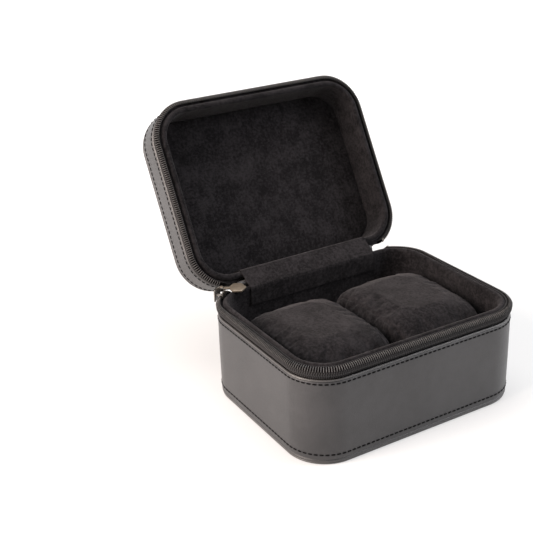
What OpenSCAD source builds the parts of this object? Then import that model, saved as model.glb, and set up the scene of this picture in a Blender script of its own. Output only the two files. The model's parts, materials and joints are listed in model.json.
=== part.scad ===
// Travel case for two watches: a leather-covered box with a zipped, hinged lid.
// Millimetres. The origin is the centre of the base's underside, +Z is up, X runs
// along the hinge and +Y points to the hinge. The lid is drawn open, as it stands.

/* [Box] */
// Outside length along the hinge
case_w = 140; // [130:1:160]
// Outside depth from front to hinge
case_d = 110; // [104:1:125]
// Outside radius of the upright corners
corner_r = 22.5; // [20:0.5:24]
// Height of the base's leather band
base_h = 50; // [48:1:60]
// Height of the lid's leather band
lid_band_h = 19.2; // [17:0.2:24]
// Angle that the lid stands open at
lid_open = 120; // [100:1:125]

/* [Walls] */
// Thickness of the cover leather
leather_t = 1.4; // [1.2:0.1:1.6]
// Distance from the leather to the lining's inner face
wall_t = 6.5; // [6.2:0.1:7]
// Thickness of the suede lining with its backing
lining_t = 1.9; // [1.5:0.1:1.9]
// Thickness of the stiff floor and top boards
board_t = 2.4; // [2:0.1:3]
// Thickness of the foam pad on the base's floor
floor_pad_t = 8.3; // [6:0.1:10]
// Thickness of the lid's lining pad
lid_pad_t = 1.4; // [1:0.1:3]
// Rise of the lid's rolled top edge above its band
top_roll_h = 2.2; // [1.5:0.1:3]

/* [Zip] */
// Height from the base's leather edge to the closing plane
zip_half_h = 6.95; // [6.9:0.05:7.2]
// Outer radius of the tape's bulge
tape_r = 2.65; // [2.6:0.05:2.7]
// Thickness of the woven tape
tape_t = 0.9; // [0.7:0.1:0.9]
// Height of the coil above the tape
coil_t = 0.5; // [0.4:0.05:0.5]
// Angle round the back corner at which the tape starts
tape_start = 112; // [110:1:114]
// Angle round the back corner at which the slider stands
slider_park = 131.5; // [131:0.5:132]

/* [Hinge] */
// Width of the outer leather spine
spine_w = 92; // [80:1:93]
// Width of the suede flap inside the hinge
flap_w = 86; // [70:1:87]
// Depth to which the flap reaches down the base's rear wall
flap_drop = 11; // [9:0.5:14]

/* [Pull] */
// Corner radius of the hexagonal pull plate
hex_r = 5.1; // [5:0.1:6]
// Thickness of the pull plate
hex_t = 1.2; // [1:0.1:1.2]
// Length of the link from its pin to the plate
link_l = 4.5; // [4:0.1:4.6]

/* [Cushions] */
// Length of one cushion along the hinge
cushion_w = 61; // [56:1:61]
// Depth of one cushion from front to back
cushion_d = 79; // [74:1:80]
// Height of one cushion
cushion_h = 40; // [36:1:41]

/* [Hidden] */
$fn = 64;

leather_color = "#3a3a3c";
board_color = "#8a7a62";
suede_color = "#1b191a";
tape_color = "#262425";
foam_color = "#c9c2b2";
metal_color = "#a79a8a";

// The plane in which the two zip chains meet, and the hinge axis in it
plane_z = base_h + zip_half_h;
hinge_y = case_d / 2;
// Centres of the upright corner arcs
corner_x = case_w / 2 - corner_r;
corner_y = case_d / 2 - corner_r;

bottom_t = 1.2;
bottom_inset = 0.3;
board_z = bottom_t + 0.4;
floor_z = board_z + board_t;
board_u = wall_t - lining_t;
rebate_z = base_h - 6.4;
rebate_u = leather_t + 1.0;
board_top_z = base_h + 3.2;
lining_top_z = base_h - 2;
pad_top_z = floor_z + floor_pad_t;

// The bulge that the tape follows, its centre measured inward from the leather's face
bulge_u = -1.9;
bulge_z = base_h + 2.9;
tape_a0 = -72;
tape_a1 = 85;
coil_a0 = 22;
coil_a1 = 76;

// The rolled suede rim inside the tape
roll_r = 1.7;
roll_u = -4.75;
roll_z = base_h + 4.2;
groove_z = base_h + 3.6;

lid_seam_z = 2 * plane_z - base_h + lid_band_h;
lid_board_top = lid_seam_z - 0.4;
lid_board_low = lid_board_top - board_t;
lid_foam_t = 1.2;

// Angle on the back corner up to which the lid's own tape hangs loose
lid_tape_fixed = 143;
slider_r0 = corner_r + 1.35;
slider_r1 = slider_r0 + 0.9;
slider_half_a = 9.8;
slider_half_h = 3.6;
inner_r0 = corner_r - 2.75;
inner_r1 = corner_r - 2.1;
pin_r = 0.55;
eye_r = 1.25;
eye_w = 2.4;
ear_w = 0.8;
// The pull's pin, and the direction in which the pull lies at rest
pin_a = 116;
pin_path_r = 24.6;
pin_x = -corner_x + pin_path_r * cos(pin_a);
pin_y = corner_y + pin_path_r * sin(pin_a);
pull_a = -29;

cushion_gap = 0.6;
cushion_x = (cushion_w + cushion_gap) / 2;
core_x = cushion_w * 0.66;
core_y = cushion_d * 0.72;
core_z = cushion_h * 0.6;

function arc(cx, cy, r, a0, a1, n) =
    [for (i = [0:n]) [cx + r * cos(a0 + (a1 - a0) * i / n), cy + r * sin(a0 + (a1 - a0) * i / n)]];

function reversed(list) = [for (i = [len(list) - 1:-1:0]) list[i]];

// A point of the base's side view, [y, z], carried to the open lid
function on_lid(p) =
    let (a = p[0] - hinge_y, b = plane_z - p[1])
    [hinge_y + a * cos(lid_open) + b * sin(lid_open), plane_z - a * sin(lid_open) + b * cos(lid_open)];

function unit(v) = v / norm(v);
function bend_normal(list, i) =
    let (
        before = list[max(i - 1, 0)],
        after = list[min(i + 1, len(list) - 1)],
        along = unit(after - before)
    )
    [-along[1], along[0]];

// The outline of a strip of one thickness that follows a line of points
function strip(list, t) = concat(
    [for (i = [0:len(list) - 1]) list[i] + bend_normal(list, i) * t / 2],
    [for (i = [len(list) - 1:-1:0]) list[i] - bend_normal(list, i) * t / 2]
);

// The case's rounded outline, moved out by u, or in where u is negative
module outline(u = 0) {
    square([case_w + 2 * u, case_d - 2 * corner_r], center = true);
    square([case_w - 2 * corner_r, case_d + 2 * u], center = true);
    for (sx = [-1, 1], sy = [-1, 1])
        translate([sx * corner_x, sy * corner_y])
            circle(r = corner_r + u);
}

module plate(u, z0, z1)
    translate([0, 0, z0])
        linear_extrude(z1 - z0)
            outline(u);

// One straight stretch of the wall's section; sides 0 to 3 face +X, +Y, -X and -Y
module straight_run(side) {
    half = side % 2 == 0 ? case_w / 2 : case_d / 2;
    length = side % 2 == 0 ? case_d - 2 * corner_r : case_w - 2 * corner_r;
    rotate([0, 0, 90 * side])
        translate([half, length / 2, 0])
            rotate([90, 0, 0])
                linear_extrude(length)
                    children();
}

// One corner stretch of the wall's section, between two angles about the corner
module corner_run(sx, sy, a0, a1)
    translate([sx * corner_x, sy * corner_y, 0])
        rotate([0, 0, a0])
            rotate_extrude(angle = a1 - a0)
                translate([corner_r, 0])
                    children();

// The section, x outward from the leather's face and y up, all the way round
module full_ring() {
    for (side = [0:3])
        straight_run(side) children();
    corner_run(1, 1, 0, 90) children();
    corner_run(-1, 1, 90, 180) children();
    corner_run(-1, -1, 180, 270) children();
    corner_run(1, -1, 270, 360) children();
}

// The section left open at the back, between an angle on each back corner
module zip_run(left_start, right_end) {
    reach = 2 * corner_r;
    difference() {
        full_ring() children();
        linear_extrude(2 * plane_z)
            polygon([
                [-corner_x, corner_y],
                [-corner_x + reach * cos(left_start), corner_y + reach * sin(left_start)],
                [0, corner_y + reach],
                [corner_x + reach * cos(right_end), corner_y + reach * sin(right_end)],
                [corner_x, corner_y]
            ]);
    }
}

// A block that follows the left back corner between two angles, radii and heights
module corner_block(a0, a1, r0, r1, z0, z1)
    translate([-corner_x, corner_y, 0])
        rotate([0, 0, a0])
            rotate_extrude(angle = a1 - a0)
                translate([r0, z0])
                    square([r1 - r0, z1 - z0]);

// Turns what is drawn on the closed lid to where the open lid stands
module lid_pose()
    translate([0, hinge_y, plane_z])
        rotate([-lid_open, 0, 0])
            translate([0, -hinge_y, -plane_z])
                children();

// Mirrors what is drawn on the base's rim up to the lid's
module flipped()
    translate([0, 0, 2 * plane_z])
        mirror([0, 0, 1])
            children();

// A leather band with a rolled upper edge
module band_section(z0, z1, roll = 0.7)
    polygon(concat(
        [[-leather_t, z0], [0, z0]],
        arc(-roll, z1 - roll, roll, 0, 90, 5),
        [[-leather_t, z1]]
    ));

module wall_board_section(z0)
    polygon([
        [-board_u, z0], [-leather_t, z0], [-leather_t, rebate_z], [-rebate_u, rebate_z],
        [-rebate_u, base_h - 0.4], [-3.4, base_h - 0.4], [-3.4, board_top_z], [-board_u, board_top_z]
    ]);

module tape_section()
    polygon(concat(
        [[-rebate_u, rebate_z + 0.4], [-leather_t, rebate_z + 0.4], [-leather_t, base_h + 0.05]],
        arc(bulge_u, bulge_z, tape_r, tape_a0, tape_a1, 14),
        arc(bulge_u, bulge_z, tape_r - tape_t, tape_a1, tape_a0, 12),
        [[-rebate_u, base_h + 0.9]]
    ));

module coil_section()
    polygon(concat(
        arc(bulge_u, bulge_z, tape_r + coil_t, coil_a0, coil_a1, 6),
        arc(bulge_u, bulge_z, tape_r + 0.015, coil_a1, coil_a0, 6)
    ));

module rim_roll_section()
    difference() {
        polygon(concat(
            [[-wall_t, lining_top_z], [-wall_t + 0.05, roll_z]],
            arc(roll_u, roll_z, roll_r, 180, 0, 10),
            [[roll_u + roll_r, groove_z], [-0.9, groove_z], [-0.9, base_h + 2],
             [-1.7, base_h + 1.5], [-rebate_u, base_h + 1.1], [-rebate_u, base_h - 0.4], [-board_u, base_h - 0.4],
             [-board_u, lining_top_z]]
        ));
        polygon([
            [-board_u, base_h - 1], [-3.4, base_h - 1], [-3.4, board_top_z], [-board_u, board_top_z]
        ]);
    }

// Room for the spine where it rises at the middle of the back
module spine_room()
    translate([-spine_w / 2 - 0.4, hinge_y - 2.7, rebate_z])
        cube([spine_w + 0.8, 6, 20]);

module base_wall_board()
    color(board_color)
        full_ring() wall_board_section(board_z);

module base_floor_board()
    color(board_color)
        plate(-board_u, board_z, floor_z);

module base_leather_band()
    color(leather_color)
        full_ring() band_section(bottom_t, base_h);

module base_bottom_panel()
    color(leather_color) {
        plate(-bottom_inset, 0, bottom_t);
        plate(-leather_t, bottom_t, board_z);
    }

module base_zip_tape()
    color(tape_color)
        zip_run(tape_start, 180 - tape_start) tape_section();

module base_zip_coil()
    color(tape_color)
        zip_run(tape_start + 4.2, 175.8 - tape_start) coil_section();

module base_rim_roll()
    color(suede_color)
        difference() {
            full_ring() rim_roll_section();
            spine_room();
        }

module base_lining_wall()
    color(suede_color)
        full_ring()
            translate([-wall_t, floor_z])
                square([lining_t, lining_top_z - floor_z]);

module base_floor_pad()
    color(suede_color)
        plate(-wall_t, floor_z, pad_top_z);

// A crimp over the coil's end, between two angles on a back corner
module stop_section()
    polygon(concat(
        arc(bulge_u, bulge_z, tape_r + coil_t + 0.1, coil_a0 + 2, coil_a1 - 2, 6),
        arc(bulge_u, bulge_z, tape_r, coil_a1 - 2, coil_a0 + 2, 6)
    ));

module base_zip_stops()
    color(metal_color) {
        corner_run(-1, 1, tape_start + 0.6, tape_start + 3.6) stop_section();
        corner_run(1, 1, 176.4 - tape_start, 179.4 - tape_start) stop_section();
    }

module lid_wall_board()
    color(board_color)
        lid_pose()
            flipped()
                full_ring() wall_board_section(2 * plane_z - lid_board_top);

module lid_top_board()
    color(board_color)
        lid_pose()
            plate(-board_u, lid_board_low, lid_board_top);

module lid_leather_band()
    color(leather_color)
        lid_pose()
            flipped()
                full_ring() band_section(2 * plane_z - lid_seam_z, base_h);

module lid_top_foam()
    color(foam_color)
        lid_pose()
            plate(-leather_t - 2, lid_board_top, lid_board_top + lid_foam_t);

// The top leather, rolled down at its edge to the seam with the band
module lid_top_panel()
    color(leather_color)
        lid_pose() {
            full_ring()
                polygon(concat(
                    [[-leather_t - 2, lid_board_top], [-leather_t, lid_board_top],
                     [-leather_t, lid_seam_z], [-0.2, lid_seam_z]],
                    arc(-top_roll_h - 0.1, lid_seam_z + 0.1, top_roll_h, 0, 90, 6),
                    [[-leather_t - 2, lid_seam_z + top_roll_h + 0.1]]
                ));
            plate(-leather_t - 2, lid_board_top + lid_foam_t, lid_seam_z + top_roll_h + 0.1);
        }

module lid_zip_tape()
    color(tape_color)
        lid_pose()
            flipped()
                zip_run(lid_tape_fixed, 180 - tape_start) tape_section();

module lid_zip_coil()
    color(tape_color)
        lid_pose()
            flipped()
                zip_run(lid_tape_fixed, 176 - tape_start) coil_section();

// The loose end of the lid's tape and coil, which flexes round the parked slider
module lid_zip_end()
    color(tape_color)
        lid_pose()
            flipped() {
                corner_run(-1, 1, tape_start, lid_tape_fixed) tape_section();
                corner_run(-1, 1, tape_start + 4, lid_tape_fixed) coil_section();
            }

module lid_rim_roll()
    color(suede_color)
        lid_pose()
            flipped()
                difference() {
                    full_ring() rim_roll_section();
                    spine_room();
                }

module lid_lining_wall()
    color(suede_color)
        lid_pose()
            flipped()
                full_ring()
                    translate([-wall_t, 2 * plane_z - lid_board_low])
                        square([lining_t, lining_top_z - 2 * plane_z + lid_board_low]);

module lid_lining_pad()
    color(suede_color)
        lid_pose()
            plate(-wall_t, lid_board_low - lid_pad_t, lid_board_low);

module lid_zip_stop()
    color(metal_color)
        lid_pose()
            flipped()
                corner_run(1, 1, 176.4 - tape_start, 179.4 - tape_start) stop_section();

// Draws a side view, x to the back and y up, as a strip along the hinge
module along_hinge(width)
    translate([-width / 2, 0, 0])
        rotate([90, 0, 90])
            linear_extrude(width)
                children();

// The leather spine rises from under the base's band, folds and goes under the lid's
spine_t = 0.9;
spine_half = [
    [hinge_y - 1.9, rebate_z + 0.5], [hinge_y - 1.9, base_h], [hinge_y - 1.3, base_h + 1.6],
    [hinge_y - 0.75, base_h + 3.2], [hinge_y - 0.55, base_h + 5], [hinge_y - 0.4, base_h + 6.3]
];

module hinge_spine()
    color(leather_color)
        along_hinge(spine_w)
            polygon(strip(concat(spine_half, reversed([for (p = spine_half) on_lid(p)])), spine_t));

// The suede flap lies on the base's rear wall, spans the hinge and enters the lid
flap_t = 0.8;
flap_off = flap_t / 2 + 0.1;
flap_half = concat(
    [[hinge_y - wall_t - flap_off, base_h + 6 - flap_drop],
     [hinge_y - wall_t - flap_off, base_h]],
    arc(hinge_y + roll_u, roll_z, roll_r + flap_off, 180, 180 - lid_open / 2, 5)
);

module hinge_flap()
    color(suede_color)
        along_hinge(flap_w)
            polygon(strip(concat(flap_half, reversed([for (p = flap_half) on_lid(p)])), flap_t));

// Places what is drawn with x along the pull and its pin at the origin
module at_pin()
    translate([pin_x, pin_y, plane_z])
        rotate([0, 0, pull_a])
            children();

// The ear at the slider's tail, bored for the pin
module slider_ear()
    at_pin()
        difference() {
            union() {
                translate([0, -eye_w / 2 - 0.15, 0])
                    rotate([90, 0, 0])
                        cylinder(r = eye_r, h = ear_w);
                translate([-2.3, -eye_w / 2 - 0.15 - ear_w, -eye_r])
                    cube([2.3, ear_w, 2 * eye_r]);
            }
            rotate([90, 0, 0])
                cylinder(r = pin_r, h = 12, center = true);
        }

// Two curved plates that run along the chains, joined by the post between them
module slider_body()
    color(metal_color) {
        corner_block(slider_park - 4, slider_park + slider_half_a,
            slider_r0, slider_r1, plane_z - slider_half_h, plane_z + slider_half_h);
        corner_block(slider_park - slider_half_a, slider_park - 4,
            slider_r0, slider_r1, plane_z - 2.8, plane_z + 2.8);
        corner_block(slider_park - 7, slider_park + 7,
            inner_r0, inner_r1, plane_z - 1.9, plane_z + 1.9);
        corner_block(slider_park + 2, slider_park + 7,
            inner_r1 - 0.1, slider_r0 + 0.1, plane_z - 0.6, plane_z + 0.6);
        slider_ear();
    }

// A headed pin, fixed in the ear and running through the link's eye
module pull_pin()
    color(metal_color)
        at_pin() {
            translate([0, eye_w / 2 + 0.2, 0])
                rotate([90, 0, 0])
                    cylinder(r = pin_r, h = eye_w + ear_w + 0.35);
            translate([0, eye_w / 2 + 0.65, 0])
                rotate([90, 0, 0])
                    cylinder(r = 0.95, h = 0.5);
        }

module pull_link()
    color(metal_color)
        at_pin()
            difference() {
                union() {
                    rotate([90, 0, 0])
                        cylinder(r = eye_r, h = eye_w, center = true);
                    translate([0, -eye_w / 2, -hex_t / 2])
                        cube([link_l, eye_w, hex_t]);
                }
                rotate([90, 0, 0])
                    cylinder(r = pin_r + 0.06, h = 12, center = true);
            }

module pull_plate()
    color(metal_color)
        at_pin()
            intersection() {
                translate([link_l + hex_r - 0.7, 0, -hex_t / 2])
                    linear_extrude(hex_t)
                        circle(r = hex_r, $fn = 6);
                translate([link_l, -10, -5])
                    cube([20, 20, 10]);
            }

// One cushion. Rings run from end to end; each is a rounded oblong in the side view.
ring_points = 28;
// Place along the half length, and size of the side view there
ring_steps = [
    [0, 1], [0.24, 0.998], [0.5, 0.985], [0.68, 0.965], [0.8, 0.94], [0.85, 0.912],
    [0.89, 0.905], [0.945, 0.8], [0.98, 0.58], [0.995, 0.3]
];
cushion_rings = concat(
    [for (i = [len(ring_steps) - 1:-1:1]) [-ring_steps[i][0], ring_steps[i][1]]],
    ring_steps
);

function signed_power(v, e) = sign(v) * pow(abs(v), e);
function ring_point(x, size, a) =
    let (
        y = cushion_d / 2 * signed_power(cos(a), 0.62),
        z = cushion_h / 2 * signed_power(sin(a), 0.62)
    )
    [x, y * size, cushion_h / 2 + z * (z < 0 ? 1 - (1 - size) * 0.4 : size)];

module cushion_form() {
    rings = len(cushion_rings);
    side_points = [
        for (r = cushion_rings, k = [0:ring_points - 1])
            ring_point(r[0] * cushion_w / 2, r[1], 360 * k / ring_points)
    ];
    ends = [[-cushion_w / 2, 0, cushion_h / 2], [cushion_w / 2, 0, cushion_h / 2]];
    count = rings * ring_points;
    walls = [
        for (i = [0:rings - 2], k = [0:ring_points - 1])
            let (
                a = i * ring_points + k,
                b = i * ring_points + (k + 1) % ring_points
            )
            each [[a, b, b + ring_points], [a, b + ring_points, a + ring_points]]
    ];
    caps = [
        for (k = [0:ring_points - 1])
            let (
                next = (k + 1) % ring_points,
                last = (rings - 1) * ring_points
            )
            each [[count, next, k], [count + 1, last + k, last + next]]
    ];
    polyhedron(concat(side_points, ends), concat(walls, caps));
}

module cushion_block(grow = 0)
    translate([0, 0, cushion_h / 2])
        cube([core_x + grow, core_y + grow, core_z + grow], center = true);

module at_cushion(side)
    translate([side * cushion_x, 0, pad_top_z])
        children();

module cushion_cover(side)
    color(suede_color)
        at_cushion(side)
            difference() {
                cushion_form();
                cushion_block();
            }

module cushion_core(side)
    color(foam_color)
        at_cushion(side)
            cushion_block();

module cushion_left_cover() cushion_cover(-1);
module cushion_left_core() cushion_core(-1);
module cushion_right_cover() cushion_cover(1);
module cushion_right_core() cushion_core(1);

base_wall_board();
base_floor_board();
base_leather_band();
base_bottom_panel();
base_zip_tape();
base_zip_coil();
base_rim_roll();
base_lining_wall();
base_floor_pad();
base_zip_stops();
lid_wall_board();
lid_top_board();
lid_leather_band();
lid_top_foam();
lid_top_panel();
lid_zip_tape();
lid_zip_coil();
lid_zip_end();
lid_rim_roll();
lid_lining_wall();
lid_lining_pad();
lid_zip_stop();
hinge_spine();
hinge_flap();
slider_body();
pull_pin();
pull_link();
pull_plate();
cushion_left_cover();
cushion_left_core();
cushion_right_cover();
cushion_right_core();
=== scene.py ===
"""A zipped leather travel case for two watches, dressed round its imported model.

Lengths are in metres, and a number times MM is given in millimetres.
A section is a list of pairs (u, z): u runs outward from the leather's face and z runs up. Each is drawn
on the base, and the lid's is its mirror in the plane where the two rims meet.
"""

from __future__ import annotations

import json
import logging
import math
from dataclasses import dataclass, field
from enum import Enum
from typing import Callable, Iterable, Sequence

import bmesh
import bpy
from mathutils import Matrix, Vector, noise


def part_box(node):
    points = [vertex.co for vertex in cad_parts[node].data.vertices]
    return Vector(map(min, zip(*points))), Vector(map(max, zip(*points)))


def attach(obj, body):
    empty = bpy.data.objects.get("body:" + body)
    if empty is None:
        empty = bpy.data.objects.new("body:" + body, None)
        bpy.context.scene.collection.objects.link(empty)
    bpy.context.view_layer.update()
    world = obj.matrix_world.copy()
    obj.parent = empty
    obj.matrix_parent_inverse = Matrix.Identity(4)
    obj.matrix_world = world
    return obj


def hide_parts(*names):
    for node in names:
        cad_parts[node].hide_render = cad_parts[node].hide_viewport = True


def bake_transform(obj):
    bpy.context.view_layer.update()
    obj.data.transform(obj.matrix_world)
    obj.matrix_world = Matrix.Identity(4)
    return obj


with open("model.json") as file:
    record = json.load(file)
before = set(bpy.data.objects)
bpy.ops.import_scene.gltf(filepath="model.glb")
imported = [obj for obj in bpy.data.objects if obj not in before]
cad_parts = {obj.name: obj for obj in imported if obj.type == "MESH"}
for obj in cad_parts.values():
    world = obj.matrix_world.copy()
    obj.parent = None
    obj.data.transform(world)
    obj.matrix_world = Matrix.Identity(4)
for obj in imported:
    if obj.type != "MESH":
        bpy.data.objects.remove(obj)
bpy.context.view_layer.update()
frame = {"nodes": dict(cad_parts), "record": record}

log = logging.getLogger("watch_case")

MM = 0.001
SWEEP_UV = "Sweep"
# The mask of the leather's lighter edges, partly real burnish and partly a painted highlight.
EDGE = "edge_wear"
Pair = tuple[float, float]
Triple = tuple[float, float, float]
WearAndHighlight = Callable[[float, float], float]
Rows = Sequence[Sequence[bmesh.types.BMVert]]


class Body(Enum):
    """The rigid bodies of the case."""

    BASE = "base"
    LID = "lid"
    SLIDER = "zip_slider"
    PULL = "zip_pull"
    CUSHION_LEFT = "cushion_left"
    CUSHION_RIGHT = "cushion_right"


class Slot(Enum):
    """The material slots of the record."""

    LEATHER = "leather"
    SUEDE = "suede"
    TAPE = "zip_tape"
    COIL = "zip_coil"
    NICKEL = "nickel"
    BOARD = "board"
    FOAM = "foam"


def joint(name: str) -> dict:
    """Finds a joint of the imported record.

    Args:
        name: The joint's name.

    Returns:
        The joint's entry.
    """
    return next(j for j in frame["record"]["behaviour"]["joints"] if j["name"] == name)


# ---------------------------------------------------------------- shaders


class Value:
    """A number inside a shader, so that sums on it add Math nodes."""

    def __init__(self, owner: Tree, socket: bpy.types.NodeSocket) -> None:
        """Wraps one output socket of a tree."""
        self.owner = owner
        self.socket = socket

    def _math(self, operation: str, *others: Value | float) -> Value:
        """Adds one Math node that starts from this value."""
        return Value(self.owner, self.owner.maths(operation, self, *others))

    def __add__(self, other: Value | float) -> Value:
        """Returns the sum."""
        return self._math("ADD", other)

    def __mul__(self, other: Value | float) -> Value:
        """Returns the product."""
        return self._math("MULTIPLY", other)

    def __rsub__(self, other: float) -> Value:
        """Returns a number less this value."""
        return self * -1.0 + other

    def sine(self) -> Value:
        """Returns the sine of the value."""
        return self._math("SINE")

    def span(self, low: float, high: float, new_low: float = 0.0, new_high: float = 1.0) -> Value:
        """Maps the stretch from low to high smoothly onto another.

        Args:
            low: The value at which the result is new_low.
            high: The value at which the result is new_high.
            new_low: The result below the stretch.
            new_high: The result above the stretch.

        Returns:
            The mapped value.
        """
        node = self.owner.node(
            "ShaderNodeMapRange",
            {"interpolation_type": "SMOOTHSTEP"},
            {"Value": self, "From Min": low, "From Max": high, "To Min": new_low, "To Max": new_high},
        )
        return Value(self.owner, node.outputs[0])


class Tree:
    """A node tree under construction."""

    def __init__(self, tree: bpy.types.NodeTree) -> None:
        """Wraps a tree."""
        self.tree = tree

    def node(
        self, kind: str, settings: dict | None = None, inputs: dict | None = None
    ) -> bpy.types.Node:
        """Adds one node.

        Args:
            kind: The node's type.
            settings: Attributes that are set first.
            inputs: Values or links, by the socket's name or number.

        Returns:
            The new node.
        """
        node = self.tree.nodes.new(kind)
        for key, value in (settings or {}).items():
            setattr(node, key, value)
        for key, value in (inputs or {}).items():
            self.feed(node.inputs[key], value)
        return node

    def maths(self, operation: str, *values: object) -> bpy.types.NodeSocket:
        """Adds a Math node and returns its result."""
        return self.node("ShaderNodeMath", {"operation": operation}, dict(enumerate(values))).outputs[0]

    def feed(self, socket: bpy.types.NodeSocket, value: object) -> None:
        """Links a value to a socket, or sets the socket's own number or colour."""
        if isinstance(value, Value):
            value = value.socket
        if isinstance(value, bpy.types.NodeSocket):
            self.tree.links.new(value, socket)
        else:
            socket.default_value = value


class Paint(Tree):
    """A material whose nodes are being built."""

    def __init__(self, name: str) -> None:
        """Starts a material with a Principled shader."""
        self.material = bpy.data.materials.new(name)
        self.material.use_nodes = True
        super().__init__(self.material.node_tree)
        self.shader = self.tree.nodes["Principled BSDF"]

    def set(self, **sockets: object) -> None:
        """Feeds the Principled shader; an underscore in a name stands for a space."""
        for name, value in sockets.items():
            self.feed(self.shader.inputs[name.replace("_", " ")], value)

    def object_space(self) -> bpy.types.NodeSocket:
        """Returns the object coordinates, in metres."""
        return self.node("ShaderNodeTexCoord").outputs["Object"]

    def sweep_space(self) -> tuple[Value, Value]:
        """Returns how far a point lies along the sweep and across it, in metres."""
        uv = self.node("ShaderNodeUVMap", {"uv_map": SWEEP_UV})
        parts = self.node("ShaderNodeSeparateXYZ", None, {0: uv.outputs[0]})
        return Value(self, parts.outputs[0]), Value(self, parts.outputs[1])

    def stretched(self, scale: Sequence[float]) -> bpy.types.NodeSocket:
        """Returns object coordinates scaled along each axis."""
        inputs = {"Vector": self.object_space(), "Scale": tuple(scale)}
        return self.node("ShaderNodeMapping", None, inputs).outputs[0]

    def noise(
        self, size: float, detail: float = 3.0, rough: float = 0.5, vector: object = None
    ) -> Value:
        """Adds a noise.

        Args:
            size: The noise's feature size, in metres.
            detail: Its octaves.
            rough: How strong the fine octaves are.
            vector: Coordinates in place of the object's own.

        Returns:
            The noise, from 0 to 1.
        """
        node = self.node(
            "ShaderNodeTexNoise",
            {"noise_dimensions": "3D"},
            {
                "Vector": vector or self.object_space(),
                "Scale": 1 / size,
                "Detail": detail,
                "Roughness": rough,
            },
        )
        return Value(self, node.outputs[0])

    def cells(self, size: float, feature: str = "DISTANCE_TO_EDGE") -> Value:
        """Adds a Voronoi pattern with cells of about one size."""
        inputs = {"Vector": self.object_space(), "Scale": 1 / size}
        node = self.node("ShaderNodeTexVoronoi", {"feature": feature}, inputs)
        return Value(self, node.outputs["Distance"])

    def attribute(self, name: str) -> Value:
        """Returns a mesh attribute."""
        return Value(self, self.node("ShaderNodeAttribute", {"attribute_name": name}).outputs["Fac"])

    def mix(self, factor: Value, low: Sequence[float], high: object) -> bpy.types.NodeSocket:
        """Mixes two colours.

        Args:
            factor: 0 gives low and 1 gives high.
            low: The first colour, or a link.
            high: The second colour, or a link.

        Returns:
            The mixed colour.
        """
        node = self.node("ShaderNodeMix", {"data_type": "RGBA"})
        for index, value in ((0, factor), (6, low), (7, high)):
            self.feed(node.inputs[index], rgba(value) if isinstance(value, tuple) else value)
        return node.outputs[2]

    def bump(self, *layers: tuple[Value, float]) -> None:
        """Adds bumps over each other and feeds the shader's normal.

        Args:
            layers: Each a height from 0 to 1 and the depth it stands for, in metres.
        """
        normal = None
        for height, depth in layers:
            inputs = {"Height": height, "Distance": depth, "Strength": 1.0}
            if normal is not None:
                inputs["Normal"] = normal
            normal = self.node("ShaderNodeBump", None, inputs).outputs[0]
        self.set(Normal=normal)


def rgba(colour: Sequence[float]) -> tuple[float, float, float, float]:
    """Adds full alpha to a colour of three numbers."""
    return (colour[0], colour[1], colour[2], 1.0)


@dataclass(frozen=True)
class Leather:
    """Smooth dyed calf with a fine grain, and rolled edges painted lighter, partly as burnish and partly as
    a painted highlight.
    """

    name: str = "calf_leather"
    dye: Triple = (0.0375, 0.0365, 0.0388)
    deep: Triple = (0.0215, 0.0206, 0.0222)
    # The colour of the rolled edges, partly burnish and partly a painted highlight.
    worn: Triple = (0.072, 0.069, 0.068)
    roughness: float = 0.43
    polish: float = -0.11
    grain: float = 0.75 * MM
    depth: float = 0.035 * MM

    def make(self) -> bpy.types.Material:
        """Builds the material."""
        paint = Paint(self.name)
        cloud = paint.noise(42 * MM, 2.0)
        haze = paint.noise(7 * MM, 3.0, 0.6)
        tone = (cloud * 0.6 + haze * 0.4).span(0.35, 0.68)
        grain = paint.cells(self.grain).span(0.0, 0.28)
        pores = paint.noise(0.22 * MM, 2.0, 0.7)
        base = paint.mix(tone, self.deep, self.dye)
        # The edge mask lightens the rolled edges: partly real burnish, partly a painted highlight.
        edge = paint.attribute(EDGE)
        rub = edge * (haze * 0.7 + 0.55)
        paint.set(
            Base_Color=paint.mix(rub.span(0.1, 1.0), base, self.worn),
            Roughness=haze * 0.12 + (1 - grain) * 0.05 + edge * self.polish + (self.roughness - 0.07),
            Specular_IOR_Level=0.5,
            Sheen_Weight=0.12,
            Sheen_Roughness=0.5,
            Coat_Weight=0.06,
            Coat_Roughness=0.32,
        )
        paint.bump((cloud, 0.25 * MM), (grain, self.depth), (pores, 0.014 * MM))
        return paint.material


@dataclass(frozen=True)
class Suede:
    """Near-black suede whose nap lies in patches."""

    name: str = "black_suede"
    dark: Triple = (0.0034, 0.0030, 0.0035)
    brushed: Triple = (0.0235, 0.0212, 0.0230)
    nap: float = 0.32 * MM
    sheen: float = 0.13

    def make(self) -> bpy.types.Material:
        """Builds the material."""
        paint = Paint(self.name)
        patch = paint.noise(14 * MM, 3.0, 0.6)
        crush = paint.noise(1.5 * MM, 3.0, 0.7)
        streak = paint.noise(1.0, 3.0, 0.6, paint.stretched((420.0, 130.0, 190.0)))
        fibre = paint.noise(self.nap, 3.0, 0.75)
        lay = (patch * 0.3 + crush * 0.42 + streak * 0.18 + fibre * 0.2).span(0.45, 0.68)
        paint.set(
            Base_Color=paint.mix(lay, self.dark, self.brushed),
            Roughness=0.96,
            Specular_IOR_Level=0.12,
            Sheen_Weight=self.sheen,
            Sheen_Roughness=0.42,
            Sheen_Tint=rgba((0.62, 0.58, 0.58)),
        )
        paint.bump((patch, 0.25 * MM), (crush, 0.22 * MM), (fibre, 0.16 * MM))
        return paint.material


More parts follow.
